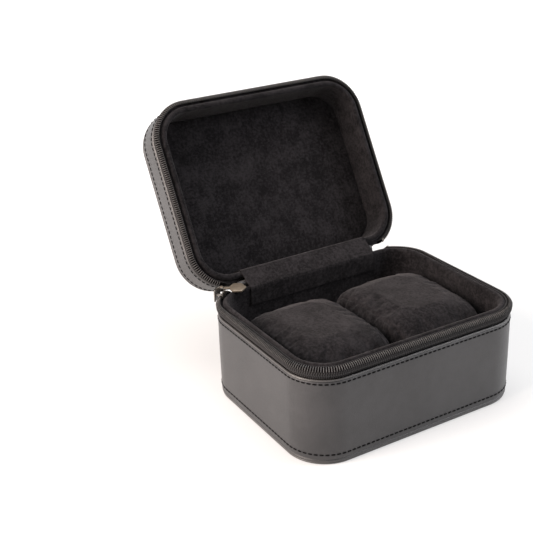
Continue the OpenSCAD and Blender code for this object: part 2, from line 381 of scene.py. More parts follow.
@dataclass(frozen=True)
class Webbing:
    """Woven zip tape with ribs across it and a few cords along it.

    The distances run across the tape, from its foot under the leather: the groove where it leaves the
    leather, where the colour is painted dark as shade; the height of its bulge, below which the colour is
    painted lighter and above which it is painted darker, as light and shade; and the strip that lies under
    the teeth, painted dark as the shade between them. That painted shade goes towards the dark colour,
    which is also the weave's darkest yarn.
    """

    name: str = "zip_webbing"
    dark: Triple = (0.0045, 0.0042, 0.0042)
    light: Triple = (0.064, 0.0615, 0.063)
    rib: float = 1.19 * MM
    cord: float = 1.20 * MM
    chevron: float = 2.4 * MM
    skew: float = 1.1
    groove: float = 5.7 * MM
    bulge: float = 8.6 * MM
    teeth: tuple[float, float] = (11.7 * MM, 14.1 * MM)

    def make(self) -> bpy.types.Material:
        """Builds the material."""
        paint = Paint(self.name)
        along, across = paint.sweep_space()
        cords = (across * (2 * math.pi / self.cord)).sine() * 0.5 + 0.5
        slant = (across * (2 * math.pi / self.chevron)).sine() * self.skew
        ribs = (along * (2 * math.pi / self.rib) + slant).sine() * 0.5 + 0.5
        weave = (ribs * 0.72 + cords * 0.28).span(0.28, 0.78)
        fuzz = paint.noise(0.25 * MM, 2.0, 0.6)
        first, last = self.teeth
        # Painted shade: the strip under the teeth is darkened as the shade between them.
        under = across.span(first, first + 0.5 * MM) * across.span(last, last + 0.5 * MM, 1.0, 0.0)
        # Painted light and shade: dark in the groove, lighter below the bulge and darker above it, and dark
        # under the teeth; it dims the specular there too.
        shade = (
            across.span(self.groove, self.groove + 0.6 * MM)
            * across.span(self.bulge, self.bulge + 2.6 * MM, 1.25, 0.72)
            * (1 - under * 0.97)
        )
        paint.set(
            Base_Color=paint.mix((weave * 0.8 + fuzz * 0.2) * shade, self.dark, self.light),
            Roughness=fuzz * 0.15 + 0.75,
            Specular_IOR_Level=shade * 0.18,
        )
        paint.bump((cords, 0.08 * MM), (ribs, 0.26 * MM), (fuzz, 0.03 * MM))
        return paint.material


@dataclass(frozen=True)
class Nylon:
    """Moulded coil nylon, slightly shiny where it rubs."""

    name: str = "coil_nylon"
    dark: Triple = (0.023, 0.0215, 0.0212)
    light: Triple = (0.060, 0.0565, 0.0555)

    def make(self) -> bpy.types.Material:
        """Builds the material."""
        paint = Paint(self.name)
        rub = paint.noise(1.6 * MM, 2.0)
        paint.set(
            Base_Color=paint.mix(rub.span(0.3, 0.7), self.dark, self.light),
            Roughness=rub * 0.16 + 0.34,
            Specular_IOR_Level=0.4,
        )
        paint.bump((paint.noise(0.12 * MM, 2.0), 0.01 * MM))
        return paint.material


@dataclass(frozen=True)
class Thread:
    """Bonded black thread, its twist showing as fine slanted lines."""

    name: str = "stitch_thread"
    dark: Triple = (0.0015, 0.0015, 0.0018)
    light: Triple = (0.0060, 0.0058, 0.0064)
    twist: float = 0.24 * MM

    def make(self) -> bpy.types.Material:
        """Builds the material."""
        paint = Paint(self.name)
        parts = paint.node("ShaderNodeSeparateXYZ", None, {0: paint.object_space()})
        x, y, z = (Value(paint, parts.outputs[i]) for i in range(3))
        strand = ((x + y + z * 1.2) * (2 * math.pi / self.twist)).sine() * 0.5 + 0.5
        paint.set(
            Base_Color=paint.mix(strand, self.dark, self.light),
            Roughness=strand * 0.1 + 0.7,
            Specular_IOR_Level=0.10,
        )
        paint.bump((strand, 0.03 * MM))
        return paint.material


@dataclass(frozen=True)
class Nickel:
    """Warm plated metal, brushed lightly one way and rubbed at its edges."""

    name: str = "warm_nickel"
    plate: Triple = (0.25, 0.205, 0.158)
    dull: Triple = (0.20, 0.165, 0.128)
    metallic: float = 0.55
    roughness: float = 0.31

    def make(self) -> bpy.types.Material:
        """Builds the material."""
        paint = Paint(self.name)
        brushed = paint.noise(1.0, 2.0, 0.5, paint.stretched((900.0, 6000.0, 900.0)))
        haze = paint.noise(2.5 * MM, 3.0)
        paint.set(
            Base_Color=paint.mix(haze.span(0.3, 0.7), self.dull, self.plate),
            Metallic=self.metallic,
            Roughness=brushed * 0.10 + haze * 0.08 + (self.roughness - 0.08),
        )
        paint.bump((brushed, 0.004 * MM))
        return paint.material


@dataclass(frozen=True)
class FibreBoard:
    """Pressed grey-brown fibre board."""

    name: str = "fibre_board"
    pulp: Triple = (0.21, 0.165, 0.11)
    fleck: Triple = (0.32, 0.27, 0.20)

    def make(self) -> bpy.types.Material:
        """Builds the material."""
        paint = Paint(self.name)
        fleck = paint.noise(1.8 * MM, 4.0, 0.7)
        paint.set(Base_Color=paint.mix(fleck.span(0.4, 0.65), self.pulp, self.fleck), Roughness=0.85)
        paint.bump((fleck, 0.08 * MM))
        return paint.material


@dataclass(frozen=True)
class Foam:
    """Open-cell foam."""

    name: str = "cushion_foam"
    skin: Triple = (0.62, 0.57, 0.47)
    pore: Triple = (0.38, 0.34, 0.27)

    def make(self) -> bpy.types.Material:
        """Builds the material."""
        paint = Paint(self.name)
        pores = paint.cells(0.8 * MM, "F1")
        paint.set(Base_Color=paint.mix(pores.span(0.1, 0.6), self.pore, self.skin), Roughness=0.95)
        paint.bump((pores, 0.3 * MM))
        return paint.material


@dataclass
class Finishes:
    """Every finish of the case, built once."""

    leather: bpy.types.Material = field(default_factory=Leather().make)
    suede: bpy.types.Material = field(default_factory=Suede().make)
    webbing: bpy.types.Material = field(default_factory=Webbing().make)
    nylon: bpy.types.Material = field(default_factory=Nylon().make)
    thread: bpy.types.Material = field(default_factory=Thread().make)
    nickel: bpy.types.Material = field(default_factory=Nickel().make)
    dull_nickel: bpy.types.Material = field(
        default_factory=Nickel("dull_nickel", (0.26, 0.235, 0.21), (0.17, 0.155, 0.14), 1.0, 0.32).make
    )
    board: bpy.types.Material = field(default_factory=FibreBoard().make)
    foam: bpy.types.Material = field(default_factory=Foam().make)


# ---------------------------------------------------------------- outline and sweeps


@dataclass(frozen=True)
class Station:
    """A place on the case's outline."""

    s: float
    x: float
    y: float
    nx: float
    ny: float

    def at(self, u: float, z: float) -> Vector:
        """Returns the point at offset u and height z."""
        return Vector((self.x + self.nx * u, self.y + self.ny * u, z))


@dataclass(frozen=True)
class Outline:
    """A rounded oblong, walked from the middle of the back, past the left side and the front."""

    half_x: float
    half_y: float
    radius: float

    def inset(self, u: float, least: float = 1.0 * MM) -> "Outline":
        """Returns the outline moved out by u, its corners never sharper than least."""
        return Outline(self.half_x + u, self.half_y + u, max(self.radius + u, least))

    def stretches(self) -> list[tuple[Vector, float, float, bool]]:
        """Returns each stretch: its start or centre, first angle and length, and whether it is an arc."""
        cx, cy, r = self.half_x - self.radius, self.half_y - self.radius, self.radius
        quarter = r * math.pi / 2
        return [
            (Vector((0, self.half_y)), 90, cx, False),
            (Vector((-cx, cy)), 90, quarter, True),
            (Vector((-self.half_x, cy)), 180, 2 * cy, False),
            (Vector((-cx, -cy)), 180, quarter, True),
            (Vector((-cx, -self.half_y)), 270, 2 * cx, False),
            (Vector((cx, -cy)), 270, quarter, True),
            (Vector((self.half_x, -cy)), 0, 2 * cy, False),
            (Vector((cx, cy)), 0, quarter, True),
            (Vector((cx, self.half_y)), 90, cx, False),
        ]

    @property
    def length(self) -> float:
        """The outline's whole length."""
        return sum(stretch[2] for stretch in self.stretches())

    def corner_s(self, degrees: float) -> float:
        """Returns how far along the outline an angle of the left back corner lies."""
        return (self.half_x - self.radius) + self.radius * math.radians(degrees - 90)

    def station(self, s: float) -> Station:
        """Returns the place that lies s along the outline."""
        rest = s
        stretches = self.stretches()
        for i, (anchor, degrees, length, is_arc) in enumerate(stretches):
            if rest <= length or i == len(stretches) - 1:
                angle = math.radians(degrees) + (rest / self.radius if is_arc else 0.0)
                nx, ny = math.cos(angle), math.sin(angle)
                if is_arc:
                    x, y = anchor.x + nx * self.radius, anchor.y + ny * self.radius
                else:
                    x, y = anchor.x - ny * rest, anchor.y + nx * rest
                return Station(s, x, y, nx, ny)
            rest -= length
        raise ValueError("no stretch holds that place")

    def walk(self, start: float, end: float, side: float, turn: float) -> list[Station]:
        """Returns stations from one place to another.

        Args:
            start: The first place along the outline.
            end: The last place.
            side: The longest step on a straight side.
            turn: The longest step on a corner, in degrees.

        Returns:
            The stations, with one at each end of every corner.
        """
        marks = [start, end]
        run = 0.0
        for _, _, length, is_arc in self.stretches():
            step = self.radius * math.radians(turn) if is_arc else side
            count = max(1, math.ceil(length / step))
            marks += [run + length * i / count for i in range(count + 1)]
            run += length
        kept = sorted(m for m in marks if start - 1e-9 <= m <= end + 1e-9)
        return [self.station(m) for i, m in enumerate(kept) if i == 0 or m - kept[i - 1] > 1e-6]

    def loop(self, side: float, turn: float) -> list[Station]:
        """Returns stations all the way round, the last one short of the first."""
        return self.walk(0, self.length - 1 * MM, side, turn)

    def ring(self, per_side: int = 12, per_turn: int = 14) -> list[Station]:
        """Returns a closed ring with the same count of stations at any size."""
        places = []
        run = 0.0
        for _, _, length, is_arc in self.stretches():
            count = per_turn if is_arc else per_side
            places += [run + length * i / count for i in range(count)]
            run += length
        return [self.station(place) for place in places]


def arc(cu: float, cz: float, radius: float, first: float, last: float, count: int) -> list[Pair]:
    """Returns points of an arc in the section, angles in degrees from outward towards up."""
    turns = (math.radians(first + (last - first) * i / count) for i in range(count + 1))
    return [(cu + radius * math.cos(t), cz + radius * math.sin(t)) for t in turns]


def finish_mesh(bm: bmesh.types.BMesh, sharp: float = 38.0) -> None:
    """Turns faces outwards and marks the sharp edges.

    Args:
        bm: The mesh.
        sharp: The angle above which an edge stays sharp, in degrees.
    """
    bmesh.ops.recalc_face_normals(bm, faces=bm.faces)
    for face in bm.faces:
        face.smooth = True
    for edge in bm.edges:
        edge.smooth = len(edge.link_faces) != 2 or edge.calc_face_angle(0.0) < math.radians(sharp)


def skin(bm: bmesh.types.BMesh, rows: Rows, capped: bool = False) -> None:
    """Joins each closed row of vertices to the next with quads.

    Args:
        bm: The mesh.
        rows: The rows, each with the same count of vertices.
        capped: Whether a face closes the first row and another the last.
    """
    for a, b in zip(rows, rows[1:]):
        for j in range(len(a)):
            m = (j + 1) % len(a)
            bm.faces.new((a[j], a[m], b[m], b[j]))
    if capped:
        bm.faces.new(reversed(rows[0]))
        bm.faces.new(rows[-1])


def lay_uv(bm: bmesh.types.BMesh, axes: str) -> None:
    """Lays the sweep's UV map flat along two axes."""
    uv = bm.loops.layers.uv[SWEEP_UV]
    for face in bm.faces:
        for loop in face.loops:
            loop[uv].uv = getattr(loop.vert.co, axes)


def mesh_from(bm: bmesh.types.BMesh, name: str) -> bpy.types.Mesh:
    """Returns a mesh with what a bmesh holds, and frees the bmesh."""
    data = bpy.data.meshes.new(name)
    bm.to_mesh(data)
    bm.free()
    return data


def put(name: str, data: bpy.types.ID) -> bpy.types.Object:
    """Makes an object and links it to the scene."""
    thing = bpy.data.objects.new(name, data)
    bpy.context.scene.collection.objects.link(thing)
    return thing


def evaluated(piece: bpy.types.Object) -> bpy.types.Mesh:
    """Returns a piece's mesh with its modifiers applied."""
    graph = bpy.context.evaluated_depsgraph_get()
    return bpy.data.meshes.new_from_object(piece.evaluated_get(graph), depsgraph=graph)


def sweep_mesh(
    profile: Sequence[Pair],
    stations: Sequence[Station],
    closed: bool,
    length: float = 0.0,
    wear: WearAndHighlight | None = None,
    shift: Callable[[Vector, Station, Pair], Vector] | None = None,
) -> bmesh.types.BMesh:
    """Carries a closed profile round the outline.

    Args:
        profile: The section's points, in order.
        stations: The places to carry it to.
        closed: Whether the last station joins the first.
        length: The whole outline's length, where it is closed.
        wear: Gives the edge's burnish and painted highlight at a point of the section.
        shift: Moves a point, for folds and unevenness.

    Returns:
        The closed mesh, with the sweep's own UV map.
    """
    bm = bmesh.new()
    uv = bm.loops.layers.uv.new(SWEEP_UV)
    # The edge mask: partly burnish, partly a painted highlight.
    worn = bm.verts.layers.float.new(EDGE)
    count = len(profile)
    grid = []
    for station in stations:
        row = []
        for pair in profile:
            point = station.at(*pair)
            vert = bm.verts.new(shift(point, station, pair) if shift else point)
            vert[worn] = wear(*pair) if wear else 0.0
            row.append(vert)
        grid.append(row)
    across = [0.0]
    for i in range(count):
        a, b = profile[i], profile[(i + 1) % count]
        across.append(across[-1] + math.dist(a, b))
    rows = len(grid)
    for i in range(rows if closed else rows - 1):
        k = (i + 1) % rows
        s0, s1 = stations[i].s, stations[k].s if k else length + stations[0].s
        for j in range(count):
            m = (j + 1) % count
            face = bm.faces.new((grid[i][j], grid[k][j], grid[k][m], grid[i][m]))
            for loop, place in zip(face.loops, ((s0, j), (s1, j), (s1, j + 1), (s0, j + 1))):
                loop[uv].uv = (place[0], across[place[1]])
    if not closed:
        caps = [bm.faces.new(grid[0]), bm.faces.new(reversed(grid[-1]))]
        bmesh.ops.triangulate(bm, faces=caps)
    finish_mesh(bm)
    return bm


def dish_mesh(
    outline: Outline,
    rings: Sequence[Pair],
    wear: WearAndHighlight | None = None,
) -> bmesh.types.BMesh:
    """Builds a closed panel from rings, the first and last drawn in to its middle line.

    Args:
        outline: The outline that the rings are set in from.
        rings: Each ring's offset and height, from the underside's middle to the top's.
        wear: Gives the edge's burnish and painted highlight at a ring.

    Returns:
        The closed mesh.
    """
    bm = bmesh.new()
    bm.loops.layers.uv.new(SWEEP_UV)
    # The edge mask: partly burnish, partly a painted highlight.
    worn = bm.verts.layers.float.new(EDGE)
    rows = []
    for u, z in rings:
        row = [bm.verts.new((st.x, st.y, z)) for st in outline.inset(u).ring()]
        for vert in row:
            vert[worn] = wear(u, z) if wear else 0.0
        rows.append(row)
    spine = outline.half_x - outline.half_y
    for row, (_, z) in ((rows[0], rings[0]), (rows[-1], rings[-1])):
        middle = [bm.verts.new((max(-spine, min(spine, v.co.x)), 0.0, z)) for v in row]
        rows.insert(0 if row is rows[0] else len(rows), middle)
    skin(bm, rows)
    bmesh.ops.remove_doubles(bm, verts=bm.verts, dist=1e-6)
    lay_uv(bm, "xy")
    finish_mesh(bm)
    return bm


@dataclass(frozen=True)
class Hinge:
    """The lid's hinge line, and the turn between the closed and the open lid."""

    y: float
    z: float
    open_angle: float

    @classmethod
    def from_frame(cls) -> "Hinge":
        """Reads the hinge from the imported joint."""
        entry = joint("lid_hinge")
        return cls(entry["pos_m"][1], entry["pos_m"][2], math.radians(entry["range_deg"][1]))

    def opened(self) -> Matrix:
        """Returns the turn from the closed lid to the open one."""
        pivot = Matrix.Translation((0, self.y, self.z))
        return pivot @ Matrix.Rotation(-self.open_angle, 4, "X") @ pivot.inverted()

    def flipped(self) -> Matrix:
        """Returns the mirror in the plane where the two rims meet."""
        return Matrix.Translation((0, 0, 2 * self.z)) @ Matrix.Diagonal((1, 1, -1, 1))

    def on_lid(self, pair: Pair) -> Pair:
        """Carries a point (y, z) of the base's side view to the open lid."""
        point = self.opened() @ self.flipped() @ Vector((0, pair[0], pair[1]))
        return (point.y, point.z)


def dress(
    name: str,
    mesh: bmesh.types.BMesh | bpy.types.Mesh,
    material: bpy.types.Material,
    body: Body,
    slot: Slot,
    nodes: Iterable[str] = (),
) -> bpy.types.Object:
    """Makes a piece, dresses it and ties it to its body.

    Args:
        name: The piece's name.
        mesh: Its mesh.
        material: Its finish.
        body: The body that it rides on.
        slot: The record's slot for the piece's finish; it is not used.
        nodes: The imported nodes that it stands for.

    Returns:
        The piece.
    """
    data = mesh_from(mesh, name) if isinstance(mesh, bmesh.types.BMesh) else mesh
    data.name = name
    if not data.materials:
        data.materials.append(material)
    piece = put(name, data)
    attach(piece, body.value)
    if nodes:
        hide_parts(*nodes)
    log.info("%s: %d faces on %s", name, len(data.polygons), body.value)
    return piece


# ---------------------------------------------------------------- geometry nodes


class Grower(Tree):
    """A Geometry Nodes tree under construction."""

    def __init__(self, name: str, inputs: dict[str, str]) -> None:
        """Starts a tree.

        Args:
            name: The tree's name.
            inputs: The socket type of each named input, after the geometry.
        """
        super().__init__(bpy.data.node_groups.new(name, "GeometryNodeTree"))
        self.tree.interface.new_socket("Geometry", in_out="INPUT", socket_type="NodeSocketGeometry")
        for key, kind in inputs.items():
            self.tree.interface.new_socket(key, in_out="INPUT", socket_type=kind)
        self.tree.interface.new_socket("Geometry", in_out="OUTPUT", socket_type="NodeSocketGeometry")
        self.source = self.tree.nodes.new("NodeGroupInput").outputs
        self.sink = self.tree.nodes.new("NodeGroupOutput").inputs[0]

    def tube(self, line: bpy.types.NodeSocket, radius: object, sides: int) -> bpy.types.NodeSocket:
        """Gives a line a round section with closed ends and returns the tube."""
        ring = {"Resolution": sides, "Radius": radius}
        section = self.node("GeometryNodeCurvePrimitiveCircle", None, ring).outputs[0]
        inputs = {0: line, 1: section, "Fill Caps": True}
        return self.node("GeometryNodeCurveToMesh", None, inputs).outputs[0]

    def repeat(self, unit: bpy.types.NodeSocket, pitch: bpy.types.NodeSocket) -> None:
        """Sets a unit at every pitch along the input line, its x along the line, and ends the tree.

        Args:
            unit: The geometry to repeat.
            pitch: The distance from one to the next.
        """
        curve = self.node("GeometryNodeMeshToCurve", None, {0: self.source["Geometry"]}).outputs[0]
        places = self.node("GeometryNodeResampleCurve", None, {"Curve": curve})
        if "Mode" in places.inputs:
            places.inputs["Mode"].default_value = "Length"
        else:
            places.mode = "LENGTH"
        self.feed(places.inputs["Length"], pitch)
        tangent = self.node("GeometryNodeInputTangent").outputs[0]
        parts = self.node("ShaderNodeSeparateXYZ", None, {0: tangent})
        heading = self.maths("ARCTAN2", parts.outputs[1], parts.outputs[0])
        turn = self.node("ShaderNodeCombineXYZ", None, {2: heading}).outputs[0]
        placed = self.node(
            "GeometryNodeInstanceOnPoints",
            None,
            {"Points": places.outputs[0], "Instance": unit, "Rotation": turn},
        ).outputs[0]
        real = self.node("GeometryNodeRealizeInstances", None, {0: placed}).outputs[0]
        smooth = self.node("GeometryNodeSetShadeSmooth", None, {"Geometry": real}).outputs[0]
        inputs = {0: smooth, "Material": self.source["Material"]}
        self.feed(self.sink, self.node("GeometryNodeSetMaterial", None, inputs).outputs[0])


def stitch_tree() -> bpy.types.NodeTree:
    """Builds the tree that sews a row of stitches along a line."""
    grow = Grower(
        "saddle_stitches",
        {
            "Pitch": "NodeSocketFloat",
            "Length": "NodeSocketFloat",
            "Thread": "NodeSocketFloat",
            "Bow": "NodeSocketVector",
            "Material": "NodeSocketMaterial",
        },
    )
    half = grow.maths("MULTIPLY", grow.source["Length"], 0.5)
    back = grow.maths("MULTIPLY", half, -1.0)
    start = grow.node("ShaderNodeCombineXYZ", None, {0: back}).outputs[0]
    end = grow.node("ShaderNodeCombineXYZ", None, {0: half}).outputs[0]
    bow = grow.node(
        "GeometryNodeCurveQuadraticBezier",
        None,
        {"Resolution": 7, "Start": start, "Middle": grow.source["Bow"], "End": end},
    ).outputs[0]
    place = grow.node("GeometryNodeSplineParameter").outputs[0]
    bell = grow.maths("SINE", grow.maths("MULTIPLY", place, math.pi))
    ends = 0.68
    full = grow.maths("ADD", grow.maths("MULTIPLY", bell, 1 - ends), ends)
    tapered = grow.node("GeometryNodeSetCurveRadius", None, {0: bow, "Radius": full}).outputs[0]
    grow.repeat(grow.tube(tapered, grow.source["Thread"], 7), grow.source["Pitch"])
    return grow.tree


def tooth_tree() -> bpy.types.NodeTree:
    """Builds the tree that sets the coil's teeth along a chain."""
    grow = Grower(
        "coil_teeth",
        {
            "Pitch": "NodeSocketFloat",
            "Wire": "NodeSocketFloat",
            "Bulge": "NodeSocketFloat",
            "First": "NodeSocketFloat",
            "Sweep": "NodeSocketFloat",
            "Material": "NodeSocketMaterial",
        },
    )
    bend = grow.node(
        "GeometryNodeCurveArc",
        None,
        {
            "Resolution": 8,
            "Radius": grow.source["Bulge"],
            "Start Angle": grow.source["First"],
            "Sweep Angle": grow.source["Sweep"],
        },
    ).outputs[0]
    place = grow.node("GeometryNodeSplineParameter").outputs[0]
    sharpness, swelling = 5.0, 0.32
    head = grow.maths("MULTIPLY", grow.maths("POWER", place, sharpness), swelling)
    swollen = grow.node(
        "GeometryNodeSetCurveRadius", None, {0: bend, "Radius": grow.maths("ADD", head, 1.0)}
    ).outputs[0]
    tube = grow.tube(swollen, grow.source["Wire"], 6)
    upright = {0: tube, "Rotation": (math.pi / 2, 0.0, -math.pi / 2)}
    grow.repeat(grow.node("GeometryNodeTransform", None, upright).outputs[0], grow.source["Pitch"])
    return grow.tree


def line_object(points: Sequence[Vector], closed: bool) -> bpy.types.Object:
    """Makes a mesh of one line for a tree to follow.

    Args:
        points: The line's points.
        closed: Whether it comes back to its start.

    Returns:
        The object.
    """
    data = bpy.data.meshes.new("guide")
    count = len(points)
    edges = [(i, (i + 1) % count) for i in range(count if closed else count - 1)]
    data.from_pydata([tuple(p) for p in points], edges, [])
    return put("guide", data)


def grown_mesh(
    tree: bpy.types.NodeTree, points: Sequence[Vector], closed: bool, values: dict[str, object]
) -> bpy.types.Mesh:
    """Runs a tree along a line and returns what it makes as a plain mesh.

    Args:
        tree: The Geometry Nodes tree.
        points: The line that it follows.
        closed: Whether the line is closed.
        values: The tree's inputs by name.

    Returns:
        The mesh.
    """
    guide = line_object(points, closed)
    modifier = guide.modifiers.new("grow", "NODES")
    modifier.node_group = tree
    for item in tree.interface.items_tree:
        if item.in_out == "INPUT" and item.name in values:
            modifier[item.identifier] = values[item.name]
    bpy.context.view_layer.update()
    mesh = evaluated(guide)
    data = guide.data
    bpy.data.objects.remove(guide)
    bpy.data.meshes.remove(data)
    return mesh


# ---------------------------------------------------------------- the case's measures


@dataclass(frozen=True)
class Measures:
    """The sizes that the base and the lid share, and places at the left back corner in degrees.

    Attributes:
        base_h: The height of the base's band.
        plane: The height at which the two rims meet.
        lid_h: The height of the lid's band.
        foot: The height of the base band's lower edge.
        floor: The height of the base's board.
        lid_drop: The depth of the lid's lining under its seam.
        bulge_u: The offset of the middle of the tape's bulge; bulge_rise is its height over base_h.
        tape_start: Where the zip starts.
        tape_tucked: Where the tape's ends are out of sight.
        lid_loose: Where the lid's tape leaves the slider.
        roll_u: The offset of the middle of the rim's roll; roll_rise is its height over base_h.
        lip: How far the leather's edge stays under base_h.
    """

    outline: Outline
    base_h: float
    plane: float
    hinge: Hinge
    lid_h: float = 19.2 * MM
    foot: float = 1.2 * MM
    floor: float = 4.0 * MM
    lid_drop: float = 2.8 * MM
    leather_t: float = 1.4 * MM
    wall_t: float = 6.5 * MM
    lining_t: float = 1.9 * MM
    bulge_u: float = -1.9 * MM
    bulge_rise: float = 2.9 * MM
    bulge_r: float = 2.65 * MM
    tape_t: float = 0.9 * MM
    tape_start: float = 112.0
    tape_tucked: float = 92.5
    lid_loose: float = 143.0
    roll_u: float = -4.75 * MM
    roll_rise: float = 4.2 * MM
    roll_r: float = 1.7 * MM
    seam_inset: float = 3.4 * MM
    lip: float = 1.0 * MM
    stitch_pitch: float = 2.95 * MM
    stitch_share: float = 0.62
    thread_r: float = 0.44 * MM
    tooth_pitch: float = 1.19 * MM
    tooth_r: float = 0.29 * MM
    tooth_lift: float = 0.17 * MM
    tooth_turn: Pair = (22.0, 56.0)

    @classmethod
    def from_frame(cls, corner_radius: float = 22.5 * MM) -> "Measures":
        """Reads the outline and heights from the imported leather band.

        Args:
            corner_radius: The radius of the upright corners.

        Returns:
            The measures.
        """
        _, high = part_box("base_leather_band")
        hinge = Hinge.from_frame()
        return cls(Outline(high[0], high[1], corner_radius), high[2], hinge.z, hinge)

    @property
    def bulge_z(self) -> float:
        """The height of the middle of the tape's bulge."""
        return self.base_h + self.bulge_rise

    @property
    def roll_z(self) -> float:
        """The height of the middle of the rim's roll."""
        return self.base_h + self.roll_rise


# ---------------------------------------------------------------- sections of the case


def spaced(
    low: float, high: float, step: float, marks: Iterable[float], near: Sequence[float]
) -> list[float]:
    """Returns places from low to high, closer together about each mark.

    Args:
        low: The first place.
        high: The last place.
        step: The longest gap.
        marks: The places that need a finer step.
        near: The distances from a mark that get a place of their own.

    Returns:
        The places in order.
    """
    count = max(1, math.ceil((high - low) / step))
    places = {low + (high - low) * i / count for i in range(count + 1)}
    for mark in marks:
        band = near[-1] * 1.1
        places = {p for p in places if abs(p - mark) > band or p in (low, high)}
        places |= {mark + side * gap for gap in near for side in (-1, 1)} | {mark}
    inside = sorted(p for p in places if low - 1e-9 <= p <= high + 1e-9)
    return [p for i, p in enumerate(inside) if i == 0 or p - inside[i - 1] > 0.04 * MM]


@dataclass(frozen=True)
class BandCut:
    """The section of a leather band: rolled edges, creases, and channels for the stitches."""

    low: float
    high: float
    thickness: float
    seams: tuple[float, ...]
    creases: tuple[Pair, ...]
    roll: float = 0.7 * MM
    foot: float = 0.45 * MM
    belly: float = 0.18 * MM
    channel: float = 0.12 * MM
    channel_w: float = 0.60 * MM
    crease_w: float = 0.24 * MM

    def face(self, z: float) -> float:
        """Returns the offset of the face at a height."""
        place = (z - self.low) / (self.high - self.low)
        u = self.belly * math.sin(math.pi * place) ** 0.7 if 0 < place < 1 else 0.0
        for centre in self.seams:
            u -= self.channel * math.exp(-(((z - centre) / self.channel_w) ** 2))
        for centre, depth in self.creases:
            u -= depth * math.exp(-(((z - centre) / self.crease_w) ** 2))
        return u

    def profile(self) -> list[Pair]:
        """Returns the closed section."""
        low, high = self.low + self.foot, self.high - self.roll
        near = [gap * MM for gap in (0.12, 0.25, 0.4, 0.6, 0.85, 1.2)]
        marks = (*self.seams, *(centre for centre, _ in self.creases))
        rise = spaced(low, high, 2.6 * MM, marks, near)
        foot = arc(-self.foot, low, self.foot, -90, 0, 4)[:-1]
        head = arc(-self.roll, high, self.roll, 0, 90, 6)[1:]
        middle = [(self.face(z), z) for z in rise]
        back = -self.thickness
        return [(back, self.low), *foot, *middle, *head, (back, self.high - 0.45 * MM)]

    def wear(self, u: float, z: float) -> float:
        """Returns the burnish and painted highlight of the edges at a point of the section."""
        top = math.exp(-(((z - self.high + 0.35 * MM) / (0.55 * MM)) ** 2))
        foot = math.exp(-(((z - self.low - 0.6 * MM) / (0.5 * MM)) ** 2))
        return (top + 0.6 * foot) if u > -self.thickness * 0.9 else 0.0


def tape_profile(case: Measures) -> list[Pair]:
    """Returns the closed section of a zip tape, from under the band to the inner edge of its bulge."""
    first, last, steps = -72, 85, 22
    skirt = 6.0 * MM
    outer = arc(case.bulge_u, case.bulge_z, case.bulge_r, first, last, steps)
    inner = arc(case.bulge_u, case.bulge_z, case.bulge_r - case.tape_t, last, first, steps - 4)
    low, edge = case.base_h - skirt, case.base_h - case.lip
    back = -case.leather_t - 1.0 * MM
    front = -case.leather_t
    fold = [(front, edge - 0.6 * MM), (front - 0.3 * MM, edge + 0.2 * MM)]
    tuck = (back + 0.05 * MM, case.base_h + 0.2 * MM)
    return [(back, low), (front, low), *fold, *outer, *inner, tuck]


def roll_profile(case: Measures) -> list[Pair]:
    """Returns the closed section of the suede rim, which holds the wall board in its channel."""
    top = arc(case.roll_u, case.roll_z, case.roll_r, 180, 0, 16)
    lining_top = case.base_h - 2 * MM
    board_top = case.base_h + 3.2 * MM
    under = case.base_h - 0.4 * MM
    board_u = -case.wall_t + case.lining_t
    groove = case.base_h + 3.6 * MM
    outside = [
        (case.roll_u + case.roll_r, groove),
        (-0.9 * MM, groove),
        (-0.9 * MM, case.base_h + 2 * MM),
        (-1.7 * MM, case.base_h + 1.5 * MM),
        (-2.4 * MM, case.base_h + 1.1 * MM),
        (-2.4 * MM, under),
    ]
    slot = -3.4 * MM
    channel = [(slot, under), (slot, board_top), (board_u, board_top), (board_u, lining_top)]
    return [(-case.wall_t, lining_top), *top, *outside, *channel]


def lining_profile(case: Measures, low: float) -> list[Pair]:
    """Returns the closed section of the suede lining from its foot to under the rim."""
    top = case.base_h - 2 * MM
    inner, outer = -case.wall_t, -case.wall_t + case.lining_t
    count = 9
    face = [(inner, low + (top - low) * i / count) for i in range(count + 1)]
    return [(outer, top), (outer, low), *face]


# ---------------------------------------------------------------- builders


